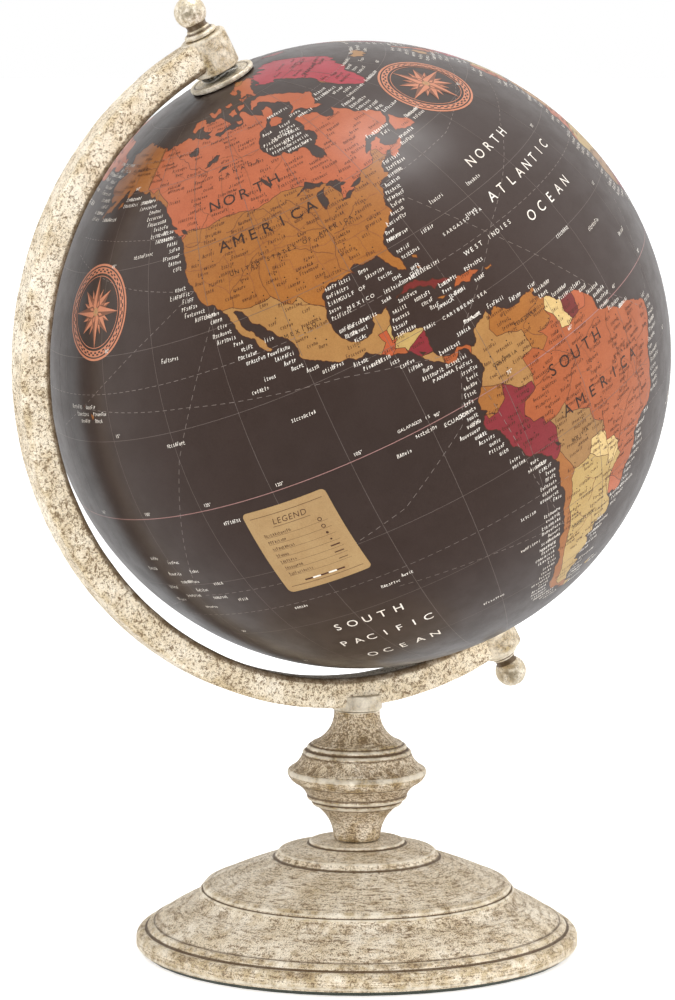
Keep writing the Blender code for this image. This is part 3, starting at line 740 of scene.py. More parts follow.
# Coasts as longitude, latitude pairs; the sides between points are roughened when they are drawn
LAND = {
    "north_america": (
        -168, 65.6, -163.9, 66.6, -161.5, 66.3, -163.5, 67.1, -166.4, 68.3, -164, 69, -161.5, 70.3, -156.7, 71.3,
        -152, 70.9, -148, 70.4, -141, 69.6, -137, 68.9, -134.5, 69.5, -129.5, 70, -127, 70.5, -124.5, 70, -121.5,
        69.8, -117, 68.9, -114, 68.3, -110, 68, -108.5, 67.4, -105, 68.4, -101.5, 67.8, -98, 67.9, -96.2, 68.3,
        -95.8, 69.3, -96.5, 70.8, -94.6, 71.9, -92.8, 71.3, -91.5, 69.6, -88.3, 68.4, -86.5, 67.4, -85.5, 69.5,
        -82.2, 69.7, -81.3, 68.6, -83.5, 66.4, -86, 66.3, -87, 65.4, -90.5, 64, -93.5, 62, -94.7, 60, -94.3, 58.8,
        -92.5, 57, -88.5, 56.6, -85, 55.3, -82.3, 55.1, -82.3, 52.9, -80.8, 51.4, -79, 51.4, -79, 53.5, -79.7,
        54.7, -77, 56, -76.6, 57.5, -78.5, 58.8, -77.5, 60.2, -78.1, 62.4, -74.5, 62.3, -72.5, 61.7, -69.8, 61,
        -69.5, 59.2, -67.8, 58.3, -66, 58.8, -64.5, 60.3, -62.5, 58.3, -61, 56, -57.5, 54.5, -55.8, 52.8, -56.8,
        51.4, -60, 50.2, -66, 50.2, -68.5, 48.9, -70.5, 47.2, -67.5, 48.6, -64.5, 49.1, -64.4, 48.2, -65.5, 47.6,
        -64.8, 46.5, -62, 45.9, -60.1, 46.7, -61, 45.3, -63.6, 44.5, -65.7, 43.5, -66.1, 44.4, -64.5, 45.5, -67,
        44.8, -70.2, 43.6, -70.8, 42.4, -70, 41.8, -71.5, 41.4, -74, 40.7, -74.1, 39.5, -75.3, 38.3, -76, 37,
        -75.6, 35.3, -77.8, 33.9, -79.5, 33, -81.2, 31.5, -81.3, 29.5, -80.1, 26.8, -80.4, 25.2, -81.7, 25.9,
        -82.7, 27.8, -83.8, 29.9, -85.2, 29.7, -88, 30.3, -89.6, 30.2, -89.4, 29.1, -91.5, 29.4, -94.3, 29.5, -97,
        28.1, -97.4, 26, -97.8, 22.5, -97.2, 20.5, -95.8, 18.8, -94, 18.2, -91.8, 18.6, -90.6, 19.8, -90.4, 21.1,
        -87.2, 21.5, -87.6, 19.4, -88.3, 17.6, -88.8, 15.9, -86, 15.9, -83.2, 15, -83.5, 12.8, -83.7, 11, -82.2,
        9.2, -80.8, 8.9, -79.5, 9.6, -77.4, 8.6, -76.6, 7.6, -77.9, 7.2, -78.6, 8.7, -79.6, 8.9, -80.4, 8, -81.6,
        7.4, -83, 8.3, -83.7, 9, -85.1, 9.8, -85.8, 10.8, -87.5, 12.9, -89.8, 13.5, -92.2, 14.5, -94.2, 16.1,
        -96.5, 15.7, -99.8, 16.8, -102, 17.9, -104.3, 19.2, -105.5, 20.4, -105.4, 22, -108, 25, -109.4, 26.5, -112,
        29, -113.1, 31.2, -114.8, 31.6, -114, 29.5, -112.4, 27.5, -111, 25.5, -109.6, 23.2, -110.1, 22.9, -112,
        24.6, -112.3, 26, -114.4, 27.2, -115, 28.1, -116, 30.4, -117.1, 32.5, -118.4, 33.9, -120.6, 34.6, -122.5,
        37.5, -123.8, 39.5, -124.3, 41.5, -124.1, 44.5, -124.7, 48.3, -122.8, 48.4, -123.2, 49.2, -127.3, 50.9,
        -128.5, 52.8, -130.2, 54.6, -133.5, 57, -136.5, 58.3, -139.8, 59.7, -144, 60, -147.5, 60.9, -151.7, 59.3,
        -151.8, 60.8, -154, 59.3, -158, 56.3, -163, 54.8, -161.8, 55.9, -157.8, 58.6, -162, 58.7, -162, 59.9,
        -165.3, 61.2, -164.8, 63, -161, 64.4, -161.5, 64.8, -166.2, 64.5,
    ),
    "baffin": (
        -80.5, 73.7, -76.5, 72.8, -71, 71.2, -67, 69.2, -61.8, 66.7, -64, 65, -67, 63.2, -65.3, 61.9, -71, 63, -74,
        64.5, -77.8, 64.6, -74, 65.5, -72.6, 67.4, -76, 69.2, -79, 70, -89, 70.6, -89.5, 71.2, -85.5, 73.7,
    ),
    "victoria": (
        -116.5, 69.3, -113.5, 68.6, -105.5, 69.1, -102, 69.5, -104.5, 71.3, -107.5, 73, -113, 72.8, -118, 72.2,
        -118, 71, -112.5, 70.4,
    ),
    "banks": (-125.5, 72, -123, 71.1, -119.5, 72, -116.5, 73.3, -121, 74.5, -124.5, 74.2),
    "prince": (-102, 73, -97, 73.8, -97, 71.6, -100, 71.3),
    "somerset": (-95.5, 73.9, -90.3, 73.9, -92.5, 72.7, -95.4, 72.2),
    "devon": (-92, 76.6, -86, 76.2, -80.5, 75.8, -80, 74.6, -91, 74.6),
    "ellesmere": (
        -90, 76.4, -79, 76.3, -77, 78, -75, 79, -67, 80.8, -61.5, 82.3, -73, 83.1, -86, 82.3, -92, 81.2, -86.5, 80,
        -86, 79, -88, 78,
    ),
    "heiberg": (-96, 80, -91.5, 81.1, -88.5, 79.8, -93, 78.4),
    "melville": (-116, 75.7, -106.5, 76, -106, 74.8, -114, 74.7),
    "bathurst": (-103, 76.4, -98, 76.5, -97.5, 75.1, -102.5, 75.4),
    "king": (-99.5, 70, -96, 69.4, -96.3, 68.6, -99, 69),
    "southampton": (-87, 63.7, -85, 65.9, -81, 64.2, -83, 63.3),
    "newfoundland": (-59.3, 47.7, -55.5, 46.9, -53, 46.7, -53, 48.5, -55.5, 51.4, -57.2, 50.4),
    "vancouver": (-128.2, 50.7, -125.3, 50.2, -123.5, 48.4, -125.7, 48.8),
    "kodiak": (-154.6, 57.4, -152.4, 58.4, -152.3, 57.4, -154, 56.8),
    "cuba": (-84.9, 21.9, -82.5, 23.1, -80, 23.1, -77, 21.8, -74.2, 20.2, -77.7, 19.9, -78, 20.7, -81.8, 22.2),
    "hispaniola": (-74.4, 18.4, -72.8, 19.9, -69.9, 19.7, -68.4, 18.6, -71.2, 17.8),
    "jamaica": (-78.3, 18.4, -76.3, 18, -77.2, 17.8),
    "puerto_rico": (-67.2, 18.5, -65.7, 18.4, -65.8, 17.9, -67.1, 17.9),
    "bahamas": (-78.4, 25.1, -77.7, 24.7, -77.6, 23.8, -78.3, 24.4),
    "abaco": (-78, 27, -77, 26.6, -77.2, 26, -78, 26.5),
    "trinidad": (-61.9, 10.7, -61, 10.8, -61.1, 10.1, -61.8, 10.1),
    "hawaii": (-155.9, 20.2, -154.9, 19.5, -155.7, 18.9),
    "oahu": (-158.3, 21.6, -157.7, 21.5, -158, 21.2),
    "south_america": (
        -77.4, 8.6, -76.8, 8.1, -75.5, 10.5, -74.2, 11.2, -71.7, 12.4, -71.3, 11, -70, 12.1, -68.3, 10.8, -65,
        10.1, -62, 10.6, -60.8, 8.6, -58.5, 7.3, -57, 6, -54, 5.9, -51.8, 4.6, -50, 1.9, -50, 0.2, -48, -0.8,
        -44.5, -2.6, -41, -2.9, -38.5, -3.8, -35.4, -5.3, -34.8, -7.5, -36.9, -10.8, -38.7, -13, -39, -16, -39.7,
        -19.5, -41, -22, -43.5, -23, -46.2, -24, -48.5, -25.8, -48.7, -28.3, -50.3, -30.3, -53.3, -33.7, -54.9,
        -34.9, -58.3, -34, -57.2, -36, -57.6, -38.1, -62, -38.9, -62.3, -40.8, -65, -41, -63.8, -42.6, -65.3,
        -44.8, -67.5, -46.1, -65.8, -47.5, -68.9, -50.2, -68.4, -52.3, -70.8, -53.5, -74.5, -52, -75.5, -48.5,
        -74.5, -45.5, -73, -42, -73.8, -39.5, -73.2, -37, -71.6, -33, -71.5, -30, -70.4, -26, -70.2, -19.5, -71.5,
        -17.3, -75.5, -15, -77, -12.2, -79, -8.2, -81.2, -6, -81.3, -4.3, -79.9, -3, -80.9, -2.2, -80.3, 0, -78.8,
        1.5, -77, 3.9, -77.9, 7.2, -76.9, 7.8,
    ),
    "fire_land": (-70, -52.7, -68.3, -53.1, -65.2, -54.7, -68.5, -55.3, -72, -54.3, -70.6, -53.6),
    "falklands": (-61, -51.4, -58, -51.5, -59, -52.3, -60.8, -52.1),
    "greenland": (
        -73, 78.2, -68, 76.1, -58.5, 75.5, -54.5, 72, -51.5, 69.5, -53.5, 67, -51.5, 64, -48.3, 61, -43.8, 59.9,
        -41.5, 62.5, -39, 65.3, -33, 67.7, -24, 70, -22, 72, -20, 74.5, -18.5, 77.5, -13, 81.3, -22, 82.3, -33,
        83.5, -46, 82.6, -58, 82.2, -62, 81.2, -66, 80.1, -67, 79.1,
    ),
    "iceland": (-24.3, 65.5, -22.5, 66.4, -20, 65.8, -16, 66.5, -13.7, 65.1, -16, 64.1, -18.7, 63.4, -22.6, 63.9),
    "eurasia": (
        25.8, 71.1, 31, 70.3, 41, 67, 40.5, 66.3, 33.5, 66.7, 35, 64.4, 38, 64, 40.3, 64.8, 44, 66.2, 44, 68.5, 48,
        67.7, 54, 68.5, 60.5, 69.5, 67.5, 68.5, 67, 71.5, 70, 73, 72.8, 71, 74, 67.5, 76, 72, 80.5, 73.6, 87, 75,
        98, 76.3, 104.3, 77.7, 113, 75.8, 110, 74, 120, 73, 129, 71.5, 133, 71.6, 140, 72.6, 152, 71, 160, 69.6,
        171, 70, 180, 68.9, 190, 66.1, 187, 64.4, 180, 65, 177.5, 64.7, 179.3, 62.5, 174, 61.8, 170.3, 60, 164,
        59.8, 163.2, 58, 162, 56, 160, 53.2, 156.7, 51, 155.6, 54, 156, 57, 161, 60.8, 164, 62.4, 160, 61.7, 155,
        59.3, 151, 59, 143, 59.3, 135.2, 54.8, 141, 53.2, 140.5, 50, 140.3, 48, 135.5, 43.9, 132, 43.2, 130, 42,
        127.5, 39.6, 129.4, 37, 129, 35.2, 126.5, 34.4, 126.5, 37.2, 125, 39.5, 121.5, 38.9, 122, 40.5, 118, 39.2,
        119, 37.3, 122.5, 37.2, 119.3, 35, 121.9, 31.7, 121.5, 29, 119.5, 25.5, 116.5, 23, 113.5, 22.1, 110.3,
        20.4, 109.7, 21.5, 106.5, 20.3, 105.8, 18.8, 108.8, 15.5, 109.2, 12, 106.8, 10.4, 105, 8.7, 104.9, 10.3,
        102.5, 12.1, 100.9, 13.4, 99.9, 12, 99.3, 9.3, 100.5, 7.2, 103.4, 4.5, 104.2, 1.4, 101.3, 2.8, 100.3, 6.2,
        98.3, 8.3, 98.6, 11.5, 97.7, 16.2, 95.3, 15.8, 94.3, 18.5, 92, 21.3, 90.5, 22.6, 88, 21.7, 86.8, 20.8,
        82.3, 16.6, 80.1, 15, 80.3, 13, 79.8, 10.3, 77.6, 8.1, 76.2, 10.5, 74.5, 14.5, 72.8, 19, 72.6, 21.5, 70.3,
        20.9, 69, 22.3, 67.3, 24.8, 61.6, 25.2, 57, 26.8, 54.5, 26.6, 51.5, 27.9, 49, 30.2, 48, 29.8, 50.1, 26.6,
        51.5, 24.3, 54, 24.2, 56.3, 26.2, 56.6, 24.4, 59.8, 22.5, 57.8, 19, 55, 17, 52, 15.6, 45, 12.8, 43.3, 12.8,
        42.7, 16.5, 39, 21.3, 37, 25, 34.9, 29.4, 34.5, 27.8, 32.6, 29.9, 32.3, 31.2, 34.3, 31.3, 35.8, 35.5, 36,
        36.8, 32.5, 36.1, 30.5, 36.6, 27.5, 36.9, 26.3, 39.2, 28.8, 40.8, 31.3, 41.2, 35, 42, 38.5, 40.9, 41.6,
        41.6, 38, 44.5, 39.2, 47.2, 35, 46.2, 36.5, 45.3, 33.5, 44.5, 32.5, 46, 30.6, 46.3, 28.6, 44, 27.8, 42.5,
        28.7, 41.4, 26.2, 40.8, 23.5, 40.3, 24, 38, 22.7, 36.6, 21.2, 37.8, 19.4, 41, 19.2, 42, 15.5, 44, 13.7,
        45.6, 12.4, 45.2, 12.5, 44, 16, 41.8, 18.4, 40, 16.9, 40.4, 16.5, 39, 15.8, 38, 12.5, 41.5, 10.2, 43.8,
        8.8, 44.4, 6, 43.1, 3.2, 43.2, 3.2, 41.8, 0.2, 40, -0.3, 38.6, -2, 36.8, -5.4, 36.1, -6.4, 36.9, -8.9, 37,
        -9.4, 38.8, -8.8, 43.2, -1.8, 43.4, -1.2, 46, -4.5, 48.2, -1.6, 48.7, -1.6, 49.7, 1.7, 50.9, 4.5, 52.4, 7,
        53.6, 8.6, 54, 8.2, 56.8, 10.5, 57.7, 10.3, 56, 10.2, 54.5, 13.5, 54.4, 18.7, 54.5, 21, 55.5, 21.5, 57.6,
        24.2, 57.2, 23.5, 59.2, 28, 59.6, 30, 60, 25, 60.2, 22.8, 60, 21.3, 61.5, 25, 65, 22, 65.8, 17.5, 62.2,
        18.5, 60.2, 16.6, 58.5, 16.3, 56.5, 14.2, 55.5, 12.7, 56.2, 11.2, 59, 8.2, 58.2, 5.6, 59, 5, 61.8, 10.5,
        64.4, 14.5, 67.8, 19, 69.9,
    ),
    "africa": (
        -5.9, 35.8, -2, 35.2, 3, 36.8, 10.2, 37.2, 10.6, 34.2, 15.2, 32.3, 19, 30.3, 20.2, 32.6, 23, 32.6, 25.1,
        31.6, 29, 30.9, 32.3, 31.2, 32.6, 29.9, 35.5, 24, 37.3, 20.8, 38.5, 18, 41.2, 14.6, 43.2, 12.5, 43.3, 11.5,
        51.2, 11.9, 50.8, 9.5, 48, 4.5, 43.5, 0.5, 41.5, -1.8, 39.2, -4.7, 39, -7, 40.5, -10.7, 40.7, -15, 35,
        -19.8, 35.5, -24, 32.8, -25.8, 32, -29, 28, -32.8, 25.6, -34, 20, -34.8, 18.3, -34.2, 18.2, -31.8, 15.2,
        -27, 14.5, -22.5, 11.8, -17.8, 13.8, -11, 12.2, -6, 8.8, -1, 9.5, 3.8, 8.5, 4.7, 4.3, 6.3, -2, 4.8, -7.6,
        4.4, -13.3, 8.8, -16.7, 12.4, -17.4, 14.7, -16.2, 19, -17, 21, -13, 27.8, -9.8, 29.8, -9.3, 32.5, -6.8,
        34.1,
    ),
    "madagascar": (49.3, -12, 50.4, -15.8, 47.1, -25, 44, -25.1, 43.3, -22, 44.4, -16.3),
    "great_britain": (
        -5.5, 50.1, 1.4, 51.2, 0.3, 53, -2, 55.8, -4, 57.7, -3.1, 58.6, -5, 58.6, -5.6, 56, -3.2, 54.9, -4.5, 53.2,
        -5, 51.8, -3, 51.4,
    ),
    "ireland": (-10, 51.6, -6.2, 52.3, -5.8, 54.7, -8, 55.2, -10, 54.1),
    "novaya": (52, 71, 57.5, 70.7, 56, 73, 68.5, 76.8, 60, 76.1, 53.5, 73.5),
    "svalbard": (11, 79.5, 16, 76.7, 24, 78, 27, 80.1, 16, 80),
    "sicily": (12.5, 38, 15.5, 38.2, 15.2, 36.7, 12.6, 37.5),
    "sardinia": (8.3, 41, 9.6, 41, 9.5, 39.2, 8.4, 39),
    "crete": (23.6, 35.6, 26.2, 35.3, 25.5, 34.9),
    "honshu": (131, 34, 135.5, 33.6, 139, 34.8, 140.8, 35.7, 142, 39.5, 141.3, 41.4, 140, 40, 137, 37, 133, 35.5),
    "hokkaido": (140, 41.6, 143.3, 42.1, 145.4, 43.3, 142, 45.4),
    "kyushu": (130, 33.3, 131.8, 33.5, 131.3, 31.4, 130.2, 31.3),
    "sakhalin": (142, 46, 143.5, 49.2, 143.2, 52.5, 142.7, 54.3, 142, 51.5),
    "taiwan": (120.2, 23, 121.6, 25.2, 120.9, 22),
    "hainan": (108.7, 19.2, 110.9, 20, 109.6, 18.3),
    "luzon": (120.3, 16, 120.7, 18.5, 122.2, 18.4, 121.8, 15, 124, 12.8, 120.7, 13.8),
    "visayas": (122, 11.8, 125, 12.3, 125.2, 10.4, 123, 9.4),
    "mindanao": (122, 7.2, 124, 8.6, 126.3, 8.5, 126, 6.3, 124, 6.4),
    "borneo": (
        109, 1.5, 111.5, 2.8, 113.5, 3.8, 116.9, 7, 119.2, 5.2, 117.8, 2.5, 119, 1, 116.4, -3.5, 114.5, -4, 111.5,
        -3.4, 110, -1.2,
    ),
    "sumatra": (95.3, 5.6, 98.5, 4, 103, 0.5, 106, -3, 105.8, -5.8, 102.3, -4, 98.7, 1.6),
    "java": (105.3, -6.8, 108.5, -6.7, 112.6, -6.9, 114.4, -8.6, 108, -7.8),
    "flores": (116, -8.4, 122.9, -8.2, 120, -9, 116.5, -9),
    "timor": (123.5, -10.3, 127, -8.4, 125, -9.5),
    "sulawesi": (
        119.5, -5.5, 120.4, -3, 121.5, -4.8, 122.5, -3.5, 121.3, -1, 123.3, -1, 120.3, 0.4, 125, 1.5, 120.6, 1.2,
        119.8, 0, 118.9, -3,
    ),
    "new_guinea": (
        131, -0.8, 134, -0.8, 135, -3.3, 137.8, -1.5, 144.5, -3.9, 147.8, -6.2, 150.8, -10.3, 147, -9.4, 143.3, -9,
        138.5, -8.3, 138, -5.5, 133, -4.1,
    ),
    "new_britain": (148.5, -5.7, 151.8, -4.4, 151, -6),
    "australia": (
        142.5, -10.7, 143.8, -14.4, 146.2, -18.9, 149.5, -22.3, 153.2, -25.5, 153.3, -29.5, 151.2, -33.8, 150,
        -37.3, 146.5, -39, 143.5, -38.8, 140.3, -37.9, 138.3, -35, 137.8, -33, 135.8, -34.8, 131.5, -31.5, 127,
        -32.3, 124, -33.8, 118, -35, 115.1, -34.2, 115.7, -31.8, 113.6, -26.5, 114.1, -22, 117, -20.7, 121.3,
        -19.3, 122.3, -17.2, 125.5, -14.3, 129.5, -15, 131, -12.2, 136.7, -12.1, 135.6, -15, 139.3, -17.5, 141,
        -16, 141.6, -12.8,
    ),
    "tasmania": (144.7, -40.8, 148.2, -41, 147, -43.5, 145.5, -42.8),
    "new_zealand_north": (173, -34.5, 175.5, -36.8, 178.4, -37.7, 175.3, -41.5, 173.8, -39.3, 174.8, -38),
    "new_zealand_south": (172.8, -40.7, 174.3, -41.7, 171.3, -44.2, 169, -46.6, 166.6, -45.9, 170.8, -42.8),
    "new_caledonia": (164, -20.1, 167, -22.2, 166.4, -22.3),
    "fiji": (177.3, -17.6, 178.6, -17.7, 178, -18.3),
    "ceylon": (79.9, 9.6, 81.8, 7.5, 80.5, 6, 79.8, 7.5),
    "antarctica": (
        -169, -78.3, -158, -78, -150, -77, -136, -74.8, -115, -74.3, -102, -72.5, -80, -73, -68, -71.5, -66, -67.5,
        -57.5, -63.4, -61, -66, -62.5, -72, -61, -75, -45, -78, -35, -78, -26, -75.5, -11, -71, 0, -70.3, 15,
        -69.8, 33, -69, 40, -69.5, 50, -67, 57, -66.5, 70, -69.5, 80, -67.5, 100, -66, 115, -66.8, 135, -66.2, 150,
        -68.4, 165, -71, 171, -72, 166, -77.6, 191, -78.3, 191, -90, -169, -90,
    ),
}

LAKES = {
    "superior": (-92, 46.7, -88.5, 48.6, -84.8, 47, -84.6, 46.5, -87.5, 46.6),
    "michigan": (-87.9, 43, -87.5, 41.7, -86.3, 42.5, -86, 44.9, -85, 45.8, -87.8, 45),
    "huron": (-84.5, 46, -83.3, 45, -82.5, 43.2, -81.5, 44.5, -80, 44.6, -81.5, 46),
    "erie": (-83.4, 41.8, -81, 42.7, -79, 42.8, -81.5, 41.5),
    "ontario": (-79.7, 43.3, -77, 44, -76.3, 43.9, -77, 43.3),
    "winnipeg": (-98.6, 53.5, -96.6, 51.2, -97.1, 50.6, -99, 53),
    "great_bear": (-124, 66, -119.5, 66.8, -119, 65.5, -122.5, 65),
    "great_slave": (-116, 61, -112, 62.6, -109.7, 62.7, -113.5, 61.2),
    "athabasca": (-111, 58.7, -107, 59.4, -109, 59),
    "nicaragua": (-85.9, 12, -84.9, 11.3, -85.6, 11.2),
    "titicaca": (-70, -15.4, -68.8, -16.3, -69.5, -16.4),
    "caspian": (
        47, 45, 49, 46.4, 51, 46.8, 53, 45, 50.8, 44.3, 52.7, 41.5, 53.7, 39, 53.8, 37, 49, 37.5, 49.5, 40.3, 47.5,
        43,
    ),
    "aral": (58.5, 46, 61, 46.3, 60, 44.2, 58.5, 44.5),
    "baikal": (104, 51.5, 109.5, 55.5, 109, 53.3, 106, 51.8),
    "victoria_lake": (31.8, -0.5, 34, -0.3, 33.5, -2.5, 31.9, -2.4),
    "tanganyika": (29.2, -3.6, 29.6, -3.6, 31, -8.6, 30.4, -8.6),
    "ladoga": (30.5, 60.2, 32.6, 60.6, 31, 61.6),
}

# Countries of the Americas, painted in order over the land; seaward sides run out past the coast
COUNTRIES = {
    "alaska": ("ochre", (
        -169, 75, -141, 75, -141, 60.2, -137.5, 58.9, -135.5, 59.7, -130, 55.9, -130.5, 54.7, -135, 53, -169, 50,
    )),
    "canada": ("coral", (
        -141, 84.5, -141, 60.2, -137.5, 58.9, -135.5, 59.7, -133, 57.8, -130, 55.9, -130.5, 54.6, -135, 53, -128,
        47, -123.5, 48.2, -122.8, 49, -95.2, 49, -93, 48.6, -89.6, 48, -88, 47.6, -84.6, 46.5, -82.6, 45.3, -82.4,
        43, -82.9, 42, -79, 42.5, -79.1, 43.5, -76.4, 44.1, -74.7, 45, -71.5, 45, -70.4, 45.8, -69.2, 47.4, -67.8,
        47.1, -67.6, 45.5, -66.9, 44.8, -66, 42, -48, 43, -50, 60, -60, 68, -72, 76, -63, 80.5, -58, 84.5,
    )),
    "mexico": ("tan", (
        -117.1, 32.5, -114.8, 32.5, -111, 31.3, -108.2, 31.4, -106.4, 31.8, -104.5, 29.6, -103, 29, -101.4, 29.8,
        -99.5, 27.5, -97.1, 25.9, -90, 26, -85, 22, -87.5, 18.3, -88.3, 18.4, -89.2, 17.9, -91, 17.8, -90.4, 16.1,
        -92.2, 14.5, -96, 12, -121, 22,
    )),
    "guatemala": ("brick", (
        -92.2, 14.5, -90.4, 16.1, -91, 17.8, -89.2, 17.9, -88.4, 15.8, -89.4, 14.4, -90.2, 13.4, -92, 13,
    )),
    "belize": ("lemon", (-89.2, 17.9, -88.3, 18.4, -87, 18, -88, 15.9, -89.2, 15.9)),
    "salvador": ("orange", (-90.2, 13.8, -89.4, 14.4, -87.8, 13.8, -87.6, 12.6, -90, 12.8)),
    "honduras": ("lemon", (
        -89.4, 14.4, -88.4, 15.8, -86, 17, -82.5, 16, -83.2, 15, -86, 13.8, -87.6, 13, -87.8, 13.8,
    )),
    "nicaragua": ("maroon", (-87.6, 13, -86, 13.8, -83.2, 15, -82, 14, -83.2, 10.9, -85.8, 11.1, -88, 12)),
    "costa_rica": ("tan", (-85.8, 11.1, -83.6, 10.9, -82.5, 10, -82.9, 8, -87, 9)),
    "panama": ("orange", (-82.9, 8, -82.5, 9.7, -80, 10.4, -77.2, 8.7, -77.9, 7.2, -80.5, 6.5, -82.9, 7.5)),
    "hispaniola": ("orange", (-75, 20.5, -68, 20.5, -68, 17.3, -75, 17.3)),
    "brazil": ("orange", (-76, 6, -48, 6, -33, -4, -33, -25, -52, -36, -60, -30, -76, -12)),
    "colombia": ("tan", (
        -77.2, 8.7, -77.9, 7.2, -79.5, 3, -79, 1.4, -77, 0.4, -75.3, -0.1, -72.8, -2.4, -70, -2.7, -69.9, -4.2,
        -69.4, -1.1, -69.8, 1.7, -67.2, 2.2, -67.4, 6, -70, 7, -72.2, 7.4, -72.8, 9.2, -71.3, 11.8, -71, 13.5, -76,
        12,
    )),
    "venezuela": ("ochre_gold", (
        -71, 13.5, -71.3, 11.8, -72.8, 9.2, -72.2, 7.4, -70, 7, -67.4, 6, -67.2, 2.2, -65.5, 0.8, -63.4, 2.2,
        -64.6, 4, -62.9, 3.7, -60.8, 4.9, -61.3, 6.4, -60, 8.4, -58, 10, -61, 12.5,
    )),
    "guyana": ("pale", (
        -60, 8.4, -61.3, 6.4, -60.2, 5, -59.6, 3, -59.8, 1.9, -58, 1.4, -56.6, 2, -57.6, 4, -57.2, 6.6, -58, 9,
    )),
    "suriname": ("purple", (-57.2, 6.6, -57.6, 4, -56.6, 2, -54.5, 2.4, -54.1, 4.5, -54, 7)),
    "guiana": ("coral", (-54, 7, -54.1, 4.5, -54.5, 2.4, -52.6, 2.3, -51.3, 4.8, -52, 6.5)),
    "ecuador": ("ochre_gold", (
        -79, 1.4, -77, 0.4, -75.3, -0.1, -76, -2.6, -78.4, -4.2, -80.3, -3.4, -83, -3, -82, 2,
    )),
    "peru": ("maroon", (
        -83, -3.5, -80.3, -3.4, -80.2, -4.4, -78.4, -4.2, -76, -2.6, -75.3, -0.1, -72.8, -2.4, -70, -2.7, -69.9,
        -4.2, -72.8, -5.2, -73.8, -7.4, -72.7, -9.4, -70.6, -9.6, -70.6, -11, -69.6, -11, -68.8, -12.6, -69.2, -15,
        -69, -16.6, -69.5, -17.5, -70.4, -18.4, -72, -19.5, -80, -17, -84, -8,
    )),
    "bolivia": ("olive", (
        -69.6, -11, -68.6, -11, -65.4, -9.8, -65.2, -12, -60.4, -13.8, -60.2, -16.2, -57.9, -17.8, -57.8, -19.5,
        -61.8, -19.6, -62.7, -22.2, -67.2, -22.8, -68.5, -19.8, -69.5, -17.5, -69, -16.6, -69.2, -15, -68.8, -12.6,
    )),
    "paraguay": ("pale", (
        -62.7, -22.2, -61.8, -19.6, -59.1, -19.3, -57.9, -20, -57.8, -22.1, -55.6, -22.3, -54.3, -24.1, -54.6,
        -25.6, -56.2, -27.3, -58.6, -27.2, -57.8, -25.2, -61, -23.9,
    )),
    "chile": ("ochre", (
        -70.4, -18.4, -69.5, -17.5, -68.5, -19.8, -67.2, -22.8, -68.4, -24.5, -68.6, -27.2, -70, -30, -69.8, -33.3,
        -70.6, -36.4, -71.4, -39, -71.8, -42, -71.9, -45, -72.2, -48, -73, -50.2, -71.8, -52, -68.4, -52.4, -68.6,
        -56, -77, -56, -78, -40, -74, -25, -73, -19,
    )),
    "argentina": ("lemon", (
        -67.2, -22.8, -62.7, -22.2, -61, -23.9, -57.8, -25.2, -58.6, -27.2, -56.2, -27.3, -54.6, -25.6, -53.8,
        -27.1, -57.6, -30.2, -58.2, -33.8, -56, -36, -50, -40, -60, -57, -68.6, -56, -68.4, -52.4, -71.8, -52, -73,
        -50.2, -72.2, -48, -71.9, -45, -71.8, -42, -71.4, -39, -70.6, -36.4, -69.8, -33.3, -70, -30, -68.6, -27.2,
        -68.4, -24.5,
    )),
    "uruguay": ("coral", (-57.6, -30.2, -53.3, -33.7, -52, -35.5, -56, -36, -58.2, -33.8)),
    "cuba_ink": ("purple", (-86, 21, -82, 24, -76, 23.5, -73.8, 20.3, -77.5, 19.3)),
    "greenland_ink": ("crimson", (
        -74, 78.6, -66, 75.5, -56, 74, -50, 58, -38, 60, -10, 70, -10, 84, -55, 84, -66, 80.8,
    )),
    "iceland_ink": ("tan", (-26, 63, -12, 63, -12, 67, -26, 67)),
    "antarctica_ink": ("pale", (-169, -60, 191, -60, 191, -90, -169, -90)),
}

